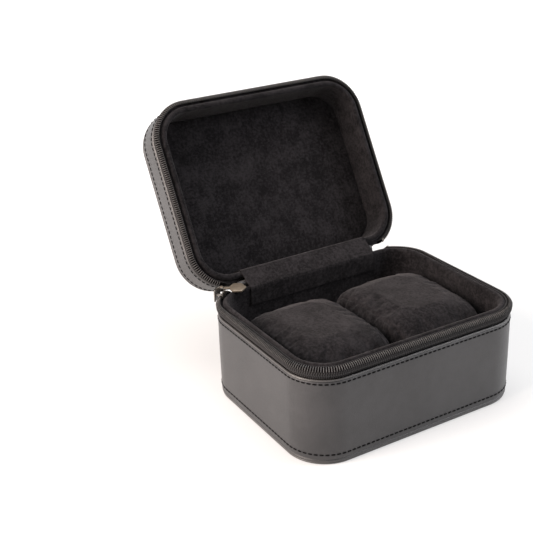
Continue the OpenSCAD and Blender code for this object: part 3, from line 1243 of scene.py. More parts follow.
@dataclass
class Shell:
    """Builds what is fixed to the base and to the lid."""

    case: Measures
    finishes: Finishes
    stitches: bpy.types.NodeTree = field(default_factory=stitch_tree)
    teeth: bpy.types.NodeTree = field(default_factory=tooth_tree)

    @property
    def lid_low(self) -> float:
        """The height of the lid's seam, mirrored down to the base's rim."""
        return 2 * self.case.plane - self.lid_seam

    @property
    def lid_seam(self) -> float:
        """The height of the seam round the closed lid's top."""
        return 2 * self.case.plane - self.case.base_h + self.case.lid_h

    def seat(
        self, mesh: bmesh.types.BMesh | bpy.types.Mesh, body: Body, mirrored: bool = True
    ) -> bmesh.types.BMesh | bpy.types.Mesh:
        """Leaves a mesh on the base, or carries it to the open lid.

        Args:
            mesh: The mesh, drawn on the closed lid, or on the base's rim where it is mirrored.
            body: The body that carries it.
            mirrored: Whether it is drawn on the base's rim.

        Returns:
            The same mesh.
        """
        if body is not Body.LID:
            return mesh
        hinge = self.case.hinge
        mesh.transform(hinge.opened() @ hinge.flipped() if mirrored else hinge.opened())
        if mirrored and isinstance(mesh, bmesh.types.BMesh):
            bmesh.ops.reverse_faces(mesh, faces=mesh.faces)
        elif mirrored:
            mesh.flip_normals()
        return mesh

    def sew(
        self, name: str, u: float, z: float, body: Body, bow: Triple, mirrored: bool = True
    ) -> None:
        """Sews a row of stitches all the way round.

        Args:
            name: The row's name.
            u: The row's offset.
            z: Its height, on the base or on the base's mirror of the lid.
            body: The body that carries it.
            bow: How each stitch bulges, in its own axes: x along the row, -y outward, z up.
            mirrored: Whether the height is on the base's mirror of the lid.
        """
        outline = self.case.outline.inset(u)
        length = outline.length
        count = round(length / self.case.stitch_pitch)
        line = [st.at(0, z) for st in outline.walk(0, length * (1 - 0.25 / count), 1.5 * MM, 2.5)]
        values = {
            "Pitch": length / count,
            "Length": self.case.stitch_pitch * self.case.stitch_share,
            "Thread": self.case.thread_r,
            "Bow": Vector(bow),
            "Material": self.finishes.thread,
        }
        mesh = self.seat(grown_mesh(self.stitches, line, True, values), body, mirrored)
        dress(name, mesh, self.finishes.thread, body, Slot.LEATHER)

    def band(self, name: str, body: Body, low: float, foot_seam: float) -> None:
        """Builds a leather band with its two rows of stitches.

        Args:
            name: The band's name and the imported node's.
            body: The body that carries it.
            low: The height of its edge away from the zip.
            foot_seam: The distance of the lower stitches from that edge.
        """
        case = self.case
        seams = (low + foot_seam, case.base_h - case.seam_inset)
        edge = case.base_h - case.lip
        under_lip, over_foot = 1.15 * MM, 1.55 * MM
        creases = ((edge - under_lip, 0.50 * MM), (low + over_foot, 0.42 * MM))
        cut = BandCut(low, edge, case.leather_t, seams, creases)
        stations = case.outline.loop(4.0 * MM, 4.0)
        bm = sweep_mesh(cut.profile(), stations, True, case.outline.length, cut.wear)
        dress(name, self.seat(bm, body), self.finishes.leather, body, Slot.LEATHER, [name])
        sunk, bow = 0.12 * MM, (0, -0.34 * MM, 0)
        for label, z in zip(("foot", "rim"), seams):
            self.sew(f"{body.value}_{label}_stitches", cut.face(z) - sunk, z, body, bow)

    def lie(self, lap: float) -> Callable[[Vector, Station, Pair], Vector]:
        """Returns how a tape lies: its ends tuck under the leather, and its inner edge laps the rim.

        Args:
            lap: How many degrees the inner edge is carried on round the bulge, away from the slider.

        Returns:
            The function that moves each point of the tape.
        """
        case = self.case
        start = case.outline.corner_s(case.tape_start)
        tuck = start - case.outline.corner_s(case.tape_tucked)
        clear = case.outline.corner_s(178) + 6 * MM
        ease = 16 * MM
        anchor = (-1.9 * MM, case.base_h - case.lip - 0.6 * MM)
        least = 0.04
        middle, edge = 50.0, 85.0

        def move(point: Vector, station: Station, pair: Pair) -> Vector:
            """Moves one point of the tape."""
            u, z = pair
            near = min(station.s, case.outline.length - station.s)
            reach = min(1.0, max(0.0, (near - clear) / ease))
            angle = math.degrees(math.atan2(z - case.bulge_z, u - case.bulge_u))
            radius = math.hypot(u - case.bulge_u, z - case.bulge_z)
            if middle < angle < edge + 1 and radius > case.bulge_r - case.tape_t - 0.05 * MM:
                turn = math.radians(angle + lap * reach * (angle - middle) / (edge - middle))
                u, z = case.bulge_u + radius * math.cos(turn), case.bulge_z + radius * math.sin(turn)
            if near < start and z > anchor[1]:
                part = max(0.0, 1 - (start - near) / tuck)
                full = least + (1 - least) * part * part * (3 - 2 * part)
                u, z = anchor[0] + (u - anchor[0]) * full, anchor[1] + (z - anchor[1]) * full
            return station.at(u, z)

        return move

    def tape(self, name: str, body: Body, first: float, last: float, lap: float = 0.0) -> None:
        """Builds a zip tape between two places on the outline.

        Args:
            name: The piece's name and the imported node's.
            body: The body that carries it.
            first: Where it starts along the outline.
            last: Where it ends.
            lap: How far its inner edge is carried on towards the rim, in degrees.
        """
        stations = self.case.outline.walk(first, last, 3 * MM, 3.0)
        bm = sweep_mesh(tape_profile(self.case), stations, False, shift=self.lie(lap))
        dress(name, self.seat(bm, body), self.finishes.webbing, body, Slot.TAPE, [name])

    def chain(self, name: str, body: Body, first: float, last: float, offset: float) -> None:
        """Sets the coil's teeth on a tape between two places on the outline.

        Args:
            name: The piece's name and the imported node's.
            body: The body that carries it.
            first: Where the chain starts along the outline.
            last: Where it ends.
            offset: How far the first tooth is moved on, so that the two chains mesh.
        """
        case = self.case
        begin = first + offset
        count = int((last - begin) / case.tooth_pitch)
        end = begin + count * case.tooth_pitch
        stations = case.outline.walk(begin, end, 1.2 * MM, 2.5)
        line = [st.at(case.bulge_u, case.bulge_z) for st in stations]
        turn, sweep = (math.radians(angle) for angle in case.tooth_turn)
        values = {
            "Pitch": case.tooth_pitch * (1 - 1e-5),
            "Wire": case.tooth_r,
            "Bulge": case.bulge_r + case.tooth_lift,
            "First": turn,
            "Sweep": sweep,
            "Material": self.finishes.nylon,
        }
        mesh = self.seat(grown_mesh(self.teeth, line, False, values), body)
        dress(name, mesh, self.finishes.nylon, body, Slot.COIL, [name])

    def rim(self, name: str, body: Body) -> None:
        """Builds the rolled suede rim, with room for the spine at the back."""
        case = self.case
        reach, room = 46.5 * MM, 2.75 * MM

        def make_room(point: Vector, station: Station, pair: Pair) -> Vector:
            """Holds the rim back where the spine rises behind it."""
            if station.ny > 0.999 and abs(point.x) <= reach:
                point.y = min(point.y, case.outline.half_y - room)
            return point

        length, step = case.outline.length, 0.1 * MM
        places = (reach, reach + step, length - reach - step, length - reach)
        edges = [case.outline.station(s) for s in places]
        stations = sorted([*case.outline.loop(4.0 * MM, 4.5), *edges], key=lambda st: st.s)
        bm = sweep_mesh(roll_profile(case), stations, True, length, None, make_room)
        dress(name, self.seat(bm, body), self.finishes.suede, body, Slot.SUEDE, [name])

    def lining(self, name: str, body: Body, low: float) -> None:
        """Builds the suede lining of the walls, not quite flat."""
        case = self.case

        def unevenly(point: Vector, station: Station, pair: Pair) -> Vector:
            """Moves the lining's inner face in or out a little."""
            if pair[0] < -case.wall_t + 0.1 * MM:
                broad = noise.noise(point / (17 * MM)) * 0.16 * MM
                fine = noise.noise(point / (6 * MM)) * 0.05 * MM
                point += Vector((station.nx, station.ny, 0)) * (broad + fine)
            return point

        stations, length = case.outline.loop(3.0 * MM, 5.0), case.outline.length
        bm = sweep_mesh(lining_profile(case, low), stations, True, length, None, unevenly)
        dress(name, self.seat(bm, body), self.finishes.suede, body, Slot.SUEDE, [name])

    def base_panels(self) -> None:
        """Builds the leather under the base and the padded floor."""
        case = self.case
        t, above, seam = case.foot, case.foot + 0.4 * MM, -4.2 * MM
        under = [
            (-30 * MM, 0.35 * MM), (-9 * MM, 0.30 * MM), (-6 * MM, 0.0), (-4.9 * MM, 0.0),
            (-4.5 * MM, 0.12 * MM), (seam, 0.16 * MM), (-3.9 * MM, 0.12 * MM), (-3.5 * MM, 0.0),
            (-1.0 * MM, 0.0),
            *arc(-0.9 * MM, t / 2, t / 2, -90, 0, 5),
            *arc(-0.9 * MM, t / 2, t / 2, 15, 90, 4),
            (-1.4 * MM, t), (-1.4 * MM, above), (-9 * MM, above), (-30 * MM, above),
        ]

        def rubbed_and_highlit(u: float, z: float) -> float:
            """Returns the burnish and painted highlight, on the panel's outer edge only."""
            return 0.8 if u > -0.8 * MM else 0.0

        name, bm = "base_bottom_panel", dish_mesh(case.outline, under, rubbed_and_highlit)
        dress(name, bm, self.finishes.leather, Body.BASE, Slot.LEATHER, [name])
        self.sew("base_bottom_stitches", seam, 0.42 * MM, Body.BASE, (0, 0, -0.12 * MM))
        low, high, roll = case.floor, 12.3 * MM, 1.4 * MM
        edge, face = -case.wall_t - 0.05 * MM, high - 0.02 * MM
        floor = [
            (-30 * MM, low), (-20 * MM, low), (edge, low), (edge, high - roll),
            *arc(edge - roll, high - roll, roll, 15, 90, 5),
            (-12 * MM, face), (-20 * MM, face), (-30 * MM, face),
        ]
        name, bm = "base_floor_pad", dish_mesh(case.outline, floor)
        pad = dress(name, bm, self.finishes.suede, Body.BASE, Slot.SUEDE, [name])

    def lid_panels(self) -> None:
        """Builds the leather over the lid's top and the lining inside it."""
        case = self.case
        seam = self.lid_seam
        board_top = seam - 0.4 * MM
        roll, top = 2.2 * MM, seam + 2.3 * MM
        sheet = 1.4 * MM
        centre = (-roll - 0.1 * MM, seam + 0.1 * MM)
        groove, channel = -5.0 * MM, 0.30 * MM
        dome = 0.55 * MM

        def height(u: float) -> float:
            """Returns the top's height, with its dome and the channel of its stitches."""
            rise = dome * (1 - math.exp(-((u + 3 * MM) / (9 * MM)) ** 2))
            return top + rise - channel * math.exp(-(((u - groove) / (0.5 * MM)) ** 2))

        near = (-2.9, -3.6, -4.1, -4.4, -4.7, -5.0, -5.3, -5.6, -5.9, -6.4)
        across = (*near, -8, -10, -13, -17, -22, -30, -40)
        bottom, ledge = board_top + 1.25 * MM, board_top + 0.1 * MM
        rings = [
            (-40 * MM, bottom), (-8 * MM, bottom), (-3.6 * MM, bottom), (-3.35 * MM, ledge),
            (-sheet, ledge), (-sheet, seam), (-0.55 * MM, seam),
            (-0.22 * MM, seam + 0.12 * MM), (-0.10 * MM, seam + 0.35 * MM),
            *arc(*centre, roll, 10, 90, 9),
            *((u * MM, height(u * MM)) for u in across),
        ]

        def rubbed_and_highlit(u: float, z: float) -> float:
            """Returns the burnish and painted highlight, strongest on the rolled edge."""
            return math.exp(-(((u + 1.1 * MM) / (1.0 * MM)) ** 2)) if z > seam else 0.0

        name, bm = "lid_top_panel", self.seat(dish_mesh(case.outline, rings, rubbed_and_highlit), Body.LID, False)
        dress(name, bm, self.finishes.leather, Body.LID, Slot.LEATHER, [name])
        z = height(groove) + 0.05 * MM
        self.sew("lid_top_stitches", groove, z, Body.LID, (0, 0, 0.5 * MM), False)
        high, puff = seam - case.lid_drop, 0.5 * MM
        edge = -case.wall_t - 0.03 * MM
        face = high - 1.4 * MM
        lining = [
            (-40 * MM, high), (-20 * MM, high), (edge, high), (edge, face + 0.7 * MM),
            *arc(edge - 0.9 * MM, face + 0.7 * MM, 0.9 * MM, -10, -90, 4),
            (-10 * MM, face - puff * 0.5), (-14 * MM, face - puff * 0.85), (-20 * MM, face - puff),
            (-30 * MM, face - puff), (-40 * MM, face - puff),
        ]
        bm = dish_mesh(case.outline, lining)
        for vert in bm.verts:
            if vert.co.z < face:
                vert.co.z += noise.noise(vert.co / (24 * MM)) * 0.25 * MM
        name, bm = "lid_lining_pad", self.seat(bm, Body.LID, False)
        pad = dress(name, bm, self.finishes.suede, Body.LID, Slot.SUEDE, [name])

    def build(self) -> None:
        """Builds the whole shell."""
        case = self.case
        outline = case.outline
        start = outline.corner_s(case.tape_start)
        loose = outline.corner_s(case.lid_loose)
        end = outline.length - start
        tail = outline.corner_s(case.tape_tucked)
        far = outline.length - tail
        crimp = outline.radius * math.radians(4.2)
        self.band("base_leather_band", Body.BASE, case.foot, 4.6 * MM)
        self.band("lid_leather_band", Body.LID, self.lid_low, 4.2 * MM)
        self.tape("base_zip_tape", Body.BASE, tail, far, 27.0)
        self.tape("lid_zip_tape", Body.LID, loose, far)
        self.tape("lid_zip_end", Body.LID, tail, loose)
        self.chain("base_zip_coil", Body.BASE, start + crimp, end - crimp, 0.0)
        self.chain("lid_zip_coil", Body.LID, start + crimp, end - crimp, 0.5 * case.tooth_pitch)
        self.rim("base_rim_roll", Body.BASE)
        self.rim("lid_rim_roll", Body.LID)
        self.lining("base_lining_wall", Body.BASE, case.floor)
        self.lining("lid_lining_wall", Body.LID, 2 * case.plane - (self.lid_seam - case.lid_drop))
        self.base_panels()
        self.lid_panels()


@dataclass
class HingeCloth:
    """Builds the leather spine and the suede flap that bend between the base and the lid."""

    case: Measures
    finishes: Finishes

    def strip(
        self, half_line: Sequence[Pair], thickness: float, width: float, columns: int
    ) -> bmesh.types.BMesh:
        """Builds a strip along the hinge from its side view.

        Args:
            half_line: The base's half of the side view, as (y, z).
            thickness: The strip's thickness.
            width: Its width along the hinge.
            columns: The number of faces along the hinge.

        Returns:
            The closed mesh.
        """
        hinge = self.case.hinge
        line = [*half_line, *(hinge.on_lid(p) for p in reversed(half_line))]
        line = self.smoothed(line)
        normals = []
        for i in range(len(line)):
            before, after = line[max(i - 1, 0)], line[min(i + 1, len(line) - 1)]
            along = Vector((after[0] - before[0], after[1] - before[1])).normalized()
            normals.append(Vector((-along.y, along.x)))
        outline = [Vector(p) + n * thickness / 2 for p, n in zip(line, normals)]
        outline += [Vector(p) - n * thickness / 2 for p, n in reversed(list(zip(line, normals)))]
        bm = bmesh.new()
        bm.loops.layers.uv.new(SWEEP_UV)
        bm.verts.layers.float.new(EDGE)
        rows = []
        for i in range(columns + 1):
            x = -width / 2 + width * i / columns
            rows.append([bm.verts.new((x, p.x, p.y)) for p in outline])
        skin(bm, rows)
        for row in (rows[0], list(reversed(rows[-1]))):
            half = len(row) // 2
            for j in range(half - 1):
                bm.faces.new((row[j + 1], row[j], row[-1 - j], row[-2 - j]))
        lay_uv(bm, "xz")
        finish_mesh(bm, 50)
        return bm

    @staticmethod
    def smoothed(line: Sequence[Pair], parts: int = 4) -> list[Pair]:
        """Returns a line through the same points with rounded turns."""
        points = [Vector(p) for p in line]
        fine = []
        for i in range(len(points) - 1):
            p0, p1 = points[max(i - 1, 0)], points[i]
            p2, p3 = points[i + 1], points[min(i + 2, len(points) - 1)]
            for k in range(parts):
                t = k / parts
                square, cube = 2 * p0 - 5 * p1 + 4 * p2 - p3, 3 * p1 - p0 - 3 * p2 + p3
                fine.append(0.5 * (2 * p1 + (p2 - p0) * t + square * t**2 + cube * t**3))
        fine.append(points[-1])
        return [(p.x, p.y) for p in fine]

    def place(
        self, name: str, bm: bmesh.types.BMesh, material: bpy.types.Material, slot: Slot, start: Pair
    ) -> bpy.types.Object:
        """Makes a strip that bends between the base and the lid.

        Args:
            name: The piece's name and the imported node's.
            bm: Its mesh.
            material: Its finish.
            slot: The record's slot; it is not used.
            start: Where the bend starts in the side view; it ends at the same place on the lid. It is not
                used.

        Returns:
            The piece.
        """
        piece = put(name, mesh_from(bm, name))
        piece.data.materials.append(material)
        end = self.case.hinge.on_lid(start)
        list(start)
        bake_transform(piece)
        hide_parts(name)
        return piece

    def build(self) -> None:
        """Builds both strips."""
        case = self.case
        y, h = case.hinge.y, case.base_h
        spine = [
            (y - 1.9 * MM, h - 5.9 * MM), (y - 1.9 * MM, h), (y - 1.3 * MM, h + 1.6 * MM),
            (y - 0.75 * MM, h + 3.2 * MM), (y - 0.55 * MM, h + 5 * MM), (y - 0.4 * MM, h + 6.3 * MM),
        ]
        bm = self.strip(spine, 0.9 * MM, 92 * MM, 46)
        self.place("hinge_spine", bm, self.finishes.leather, Slot.LEATHER, spine[-2])
        thickness = 0.8 * MM
        off = thickness / 2 + 0.1 * MM
        wall = y - case.wall_t - off
        roll = arc(y + case.roll_u, case.roll_z, case.roll_r + off, 180, 120, 5)
        flap = [(wall, h - 5 * MM), (wall, h - 2.5 * MM), (wall, h), *roll]
        width = 86 * MM
        bm = self.strip(flap, thickness, width, 60)
        piece = self.place("hinge_flap", bm, self.finishes.suede, Slot.SUEDE, roll[-1])
        run = sum(math.dist(a, b) for a, b in zip(flap, flap[1:])) * 2
        run += math.dist(flap[-1], case.hinge.on_lid(flap[-1]))
        log.info("flap: %.1f mm long", run / MM)


@dataclass
class Zipper:
    """Builds the slider, its pin and the hexagonal pull.

    Attributes:
        park: Where the slider stands on the left back corner, in degrees.
        lean: How far the pull leans over on its pin, in degrees.
        bevel: The width of the slider's rounded edges.
        hex_r: The hexagon's radius to its corners, and hex_at how far its middle lies from the pin.
    """

    case: Measures
    finishes: Finishes
    park: float = 131.5
    lean: float = 4.5
    bevel: float = 0.30 * MM
    hex_r: float = 5.1 * MM
    hex_at: float = 8.9 * MM

    @property
    def corner(self) -> Vector:
        """The centre of the left back corner at the closing plane."""
        o = self.case.outline
        return Vector((-(o.half_x - o.radius), o.half_y - o.radius, self.case.plane))

    def block(self, bm: bmesh.types.BMesh, a0: float, a1: float, r0: float, r1: float, half: float) -> None:
        """Adds a block that follows the corner.

        Args:
            bm: The mesh to add to.
            a0: Its first angle, in degrees.
            a1: Its last angle.
            r0: Its inner radius.
            r1: Its outer radius.
            half: How far it reaches above and below the closing plane.
        """
        steps = max(2, math.ceil((a1 - a0) / 2.0))
        rows = []
        for i in range(steps + 1):
            angle = math.radians(a0 + (a1 - a0) * i / steps)
            out = Vector((math.cos(angle), math.sin(angle), 0))
            corners = ((r0, -half), (r1, -half), (r1, half), (r0, half))
            rows.append([bm.verts.new(self.corner + out * r + Vector((0, 0, z))) for r, z in corners])
        skin(bm, rows, True)

    def at_pin(self) -> Matrix:
        """Returns the place of the pull's pin, x along the pull and y along the pin."""
        entry = joint("pull_swing")
        along = Vector(entry["axis"])
        turn = Matrix.Rotation(math.atan2(along.y, along.x) - math.pi / 2, 4, "Z")
        return Matrix.Translation(entry["pos_m"]) @ turn

    @staticmethod
    def bevelled(bm: bmesh.types.BMesh, width: float, segments: int = 3) -> bmesh.types.BMesh:
        """Rounds a mesh's sharp edges."""
        bmesh.ops.recalc_face_normals(bm, faces=bm.faces)
        least = math.radians(28)
        sharp = [e for e in bm.edges if len(e.link_faces) == 2 and e.calc_face_angle(0.0) > least]
        shape = {"offset": width, "segments": segments, "profile": 0.5, "clamp_overlap": True}
        bmesh.ops.bevel(bm, geom=sharp, affect="EDGES", **shape)
        finish_mesh(bm, 45)
        return bm

    @staticmethod
    def rod(bm: bmesh.types.BMesh, radius: float, start: float, end: float) -> None:
        """Adds a round bar along the pin's axis, in the pin's own frame."""
        sides = 32
        rows = []
        for y in (start, end):
            turns = (2 * math.pi * i / sides for i in range(sides))
            rows.append([bm.verts.new((radius * math.cos(t), y, radius * math.sin(t))) for t in turns])
        skin(bm, rows, True)

    @staticmethod
    def slab(bm: bmesh.types.BMesh, size: Triple, middle: Triple) -> None:
        """Adds a block in the pin's own frame.

        Args:
            bm: The mesh to add to.
            size: The block's size, in millimetres.
            middle: Its middle, in millimetres.
        """
        for vert in bmesh.ops.create_cube(bm, size=1.0)["verts"]:
            vert.co = Vector(v * s + m for v, s, m in zip(vert.co, size, middle)) * MM

    def slider(self) -> None:
        """Builds the slider from its curved plates, post and ear."""
        bm = bmesh.new()
        r = self.case.outline.radius
        outer, inner = r + 1.35 * MM, r - 2.75 * MM
        blocks = {
            "outer plate": (-4, 9.8, outer, outer + 0.9 * MM, 3.6 * MM),
            "its nose": (-9.8, -3.9, outer, outer + 0.88 * MM, 2.8 * MM),
            "inner plate": (-7, 7, inner, inner + 0.65 * MM, 1.9 * MM),
            "post": (2, 7, inner + 0.5 * MM, outer + 0.1 * MM, 0.6 * MM),
        }
        for first, last, *rest in blocks.values():
            self.block(bm, self.park + first, self.park + last, *rest)
        pin = bmesh.new()
        self.rod(pin, 1.25 * MM, -1.35 * MM, -2.15 * MM)
        self.slab(pin, (2.3, 0.78, 2.4), (-1.35, -1.75, 0.0))
        pin.transform(self.at_pin())
        ear = mesh_from(pin, "ear")
        bm.from_mesh(ear)
        bpy.data.meshes.remove(ear)
        name, bm = "slider_body", self.bevelled(bm, self.bevel)
        dress(name, bm, self.finishes.dull_nickel, Body.SLIDER, Slot.NICKEL, [name])

    def pin(self) -> None:
        """Builds the headed pin."""
        bm = bmesh.new()
        self.rod(bm, 0.55 * MM, 1.4 * MM, -2.15 * MM)
        self.rod(bm, 0.95 * MM, 1.85 * MM, 1.35 * MM)
        bm.transform(self.at_pin())
        name, bm = "pull_pin", self.bevelled(bm, 0.12 * MM, 2)
        dress(name, bm, self.finishes.dull_nickel, Body.SLIDER, Slot.NICKEL, [name])

    def pull(self) -> None:
        """Builds the link and the hexagonal plate, which lean over in the play on their pin."""
        place = self.at_pin() @ Matrix.Rotation(math.radians(self.lean), 4, "X")
        link = bmesh.new()
        self.rod(link, 1.2 * MM, -1.0 * MM, 1.0 * MM)
        self.slab(link, (4.6, 2.0, 1.0), (2.5, 0.0, 0.0))
        link.transform(place)
        name, link = "pull_link", self.bevelled(link, 0.2 * MM)
        dress(name, link, self.finishes.nickel, Body.PULL, Slot.NICKEL, [name])
        plate = bmesh.new()
        radius, centre, half = self.hex_r, self.hex_at, 0.6 * MM
        flat = centre - radius + 0.7 * MM
        slope = math.sqrt(3) * (flat - (centre - radius))
        middle = radius * math.sqrt(3) / 2
        side = [(centre + radius / 2, middle), (centre - radius / 2, middle), (flat, slope)]
        rim = [(centre + radius, 0.0), *side, *((x, -y) for x, y in reversed(side))]
        rows = [[plate.verts.new((x, y, z)) for x, y in rim] for z in (-half, half)]
        skin(plate, rows, True)
        plate.transform(place)
        name, plate = "pull_plate", self.bevelled(plate, 0.34 * MM, 4)
        dress(name, plate, self.finishes.nickel, Body.PULL, Slot.NICKEL, [name])

    def build(self) -> None:
        """Builds every piece of the slider and its pull."""
        self.slider()
        self.pin()
        self.pull()


@dataclass
class Cushion:
    """Builds one suede cushion, filled and wrinkled.

    Attributes:
        side: -1 for the left cushion and 1 for the right one.
        centre_x: How far its middle lies from the case's.
        floor: The height that it stands on.
        power: The roundness of its side view.
        around: The vertices round its side view.
        seam_x: How far the end seams lie from its middle.
        STEPS: The side view's size at places from 0, the middle, to 1, the end.
        ENLARGED: How many times larger the cloth is simulated.
        VOXEL: The cell of the simulated mesh, at that size.
        CLOTH: What the simulation is told about the suede.
    """

    finishes: Finishes
    side: int
    width: float = 61 * MM
    depth: float = 79 * MM
    height: float = 40 * MM
    centre_x: float = 30.8 * MM
    floor: float = 12.3 * MM
    power: float = 0.62
    around: int = 96
    seam_x: float = 26.4 * MM

    ENLARGED = 10.0
    VOXEL = 0.019
    CLOTH = {
        "use_pressure": True,
        "uniform_pressure_force": 2.2,
        "vertex_group_mass": "held",
        "shrink_min": -0.03,
        "tension_stiffness": 18.0,
        "compression_stiffness": 18.0,
        "bending_stiffness": 0.35,
        "quality": 6,
    }

    STEPS = (
        (0, 1), (0.24, 0.998), (0.5, 0.985), (0.68, 0.965), (0.8, 0.94), (0.85, 0.912),
        (0.89, 0.905), (0.945, 0.8), (0.98, 0.58), (0.995, 0.3),
    )

    @property
    def body(self) -> Body:
        """The body that the cushion rides on."""
        return Body.CUSHION_LEFT if self.side < 0 else Body.CUSHION_RIGHT

    def size_at(self, place: float) -> float:
        """Returns the side view's size at a place from 0, the middle, to 1, the end."""
        for (a, size_a), (b, size_b) in zip(self.STEPS, self.STEPS[1:]):
            if place <= b:
                return size_a + (size_b - size_a) * (place - a) / (b - a)
        return self.STEPS[-1][1]

    def point(self, x: float, size: float, turn: float) -> Vector:
        """Returns a point of the form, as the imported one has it."""

        def eased(value: float) -> float:
            """Raises a value to the form's power and keeps its sign."""
            return math.copysign(abs(value) ** self.power, value)

        y = self.depth / 2 * eased(math.cos(turn))
        z = self.height / 2 * eased(math.sin(turn))
        lift = 1 - (1 - size) * 0.4 if z < 0 else size
        return Vector((x * self.width / 2, y * size, self.height / 2 + z * lift))

    def places(self) -> list[float]:
        """Returns the rings' places along the half length, closer together towards the end."""
        turn, end, coarse, fine = 0.84, 0.995, 22, 18
        finer = (turn + (end - turn) * i / fine for i in range(fine + 1))
        return [*(turn * i / coarse for i in range(coarse)), *finer]

    def form(self) -> bmesh.types.BMesh:
        """Builds the plain form in place."""
        bm = bmesh.new()
        bm.loops.layers.uv.new(SWEEP_UV)
        half = self.places()
        rings = [*(-p for p in reversed(half[1:])), *half]
        rows = []
        for place in rings:
            size = self.size_at(abs(place))
            turns = (2 * math.pi * k / self.around for k in range(self.around))
            rows.append([bm.verts.new(self.point(place, size, t) + self.middle) for t in turns])
        skin(bm, rows)
        for row, x in ((rows[0], -1), (rows[-1], 1)):
            end = bm.verts.new(Vector((x * self.width / 2, 0, self.height / 2)) + self.middle)
            for k in range(self.around):
                m = (k + 1) % self.around
                bm.faces.new((row[m], row[k], end) if x < 0 else (row[k], row[m], end))
        lay_uv(bm, "xy")
        finish_mesh(bm, 80)
        return bm

    @property
    def middle(self) -> Vector:
        """The middle of the cushion's underside."""
        return Vector((self.side * self.centre_x, 0, self.floor))

    def filled(self, bm: bmesh.types.BMesh) -> bmesh.types.BMesh:
        """Fills the suede under pressure while its end seams hold, so that it swells and creases.

        Args:
            bm: The plain form, which is used up.

        Returns:
            The filled form.
        """
        scene = bpy.context.scene
        centre = self.middle + Vector((0, 0, 0.46 * self.height))
        slack = Vector((0.965, 0.95, 0.90))
        bm.transform(Matrix.Diagonal((*(slack * self.ENLARGED), 1)) @ Matrix.Translation(-centre))
        raw = put("filling", mesh_from(bm, "filling"))
        remesh = raw.modifiers.new("remesh", "REMESH")
        remesh.mode, remesh.voxel_size = "VOXEL", self.VOXEL
        form = put("filling_cloth", evaluated(raw))
        bpy.data.objects.remove(raw)
        start = [v.co.copy() for v in form.data.vertices]
        seam = self.seam_x * self.ENLARGED * slack.x
        sole = -0.5 * self.height * self.ENLARGED * slack.z
        held = form.vertex_groups.new(name="held")
        for i, place in enumerate(start):
            at_seam = abs(abs(place.x) - seam) < 0.7 * self.VOXEL
            at_sole = place.z < sole + 0.6 * self.VOXEL
            if at_seam or at_sole:
                held.add([i], 1.0, "REPLACE")
        cloth = form.modifiers.new("cloth", "CLOTH")
        cloth.settings.effector_weights.gravity = 0.0
        for fact, value in self.CLOTH.items():
            setattr(cloth.settings, fact, value)
        last = 20
        cloth.point_cache.frame_start, cloth.point_cache.frame_end = 1, last
        for frame_number in range(1, last + 1):
            scene.frame_set(frame_number)
        settled = evaluated(form)
        scene.frame_set(1)
        bpy.data.objects.remove(form)
        most = 3 * MM
        cap = most * self.ENLARGED
        for vert, place in zip(settled.vertices, start):
            move = vert.co - place
            if move.length > cap:
                vert.co = place + move * (cap / move.length)
        small = Matrix.Diagonal((1 / self.ENLARGED,) * 3).to_4x4()
        settled.transform(Matrix.Translation(centre) @ small)
        return self.smoothed(settled)

    @staticmethod
    def smoothed(mesh: bpy.types.Mesh) -> bmesh.types.BMesh:
        """Subdivides a mesh and returns it."""
        raw = put("smoothing", mesh)
        finer = raw.modifiers.new("finer", "SUBSURF")
        finer.levels = finer.render_levels = 2
        fine = evaluated(raw)
        bpy.data.objects.remove(raw)
        bm = bmesh.new()
        bm.from_mesh(fine)
        return bm

    def finished(self, bm: bmesh.types.BMesh) -> bmesh.types.BMesh:
        """Draws in the end seams, crushes the nap a little and keeps the cushion in its place."""
        bm.normal_update()
        moves = []
        for vert in bm.verts:
            here = vert.co - self.middle
            crush = noise.noise(vert.co / (7 * MM)) * 0.22
            crush += noise.noise(vert.co / (2.6 * MM)) * 0.10
            gap = abs(abs(here.x) - self.seam_x)
            groove = 0.85 * math.exp(-((gap / (0.75 * MM)) ** 2))
            fold = 3.2 * MM
            gather = noise.noise(Vector((0, here.y / fold, here.z / fold + 7 * self.side)))
            pleat = 0.55 * gather * math.exp(-((gap / (5 * MM)) ** 2))
            moves.append(vert.normal * (crush - groove + pleat) * MM)
        gap = 0.35 * MM
        low_x, high_x = sorted((self.side * gap, self.side * (gap + self.width)))
        for vert, move in zip(bm.verts, moves):
            vert.co += move
            vert.co.x = min(high_x, max(low_x, vert.co.x))
            vert.co.y = min(self.depth / 2, max(-self.depth / 2, vert.co.y))
            vert.co.z = min(self.floor + self.height, max(self.floor, vert.co.z))
        finish_mesh(bm, 80)
        return bm

    def build(self) -> None:
        """Builds the cushion."""
        name = f"{self.body.value}_cover"
        bm = self.form()
        bm = self.filled(bm)
        bm = self.finished(bm)
        piece = dress(name, bm, self.finishes.suede, self.body, Slot.SUEDE, [name])


# ---------------------------------------------------------------- stage


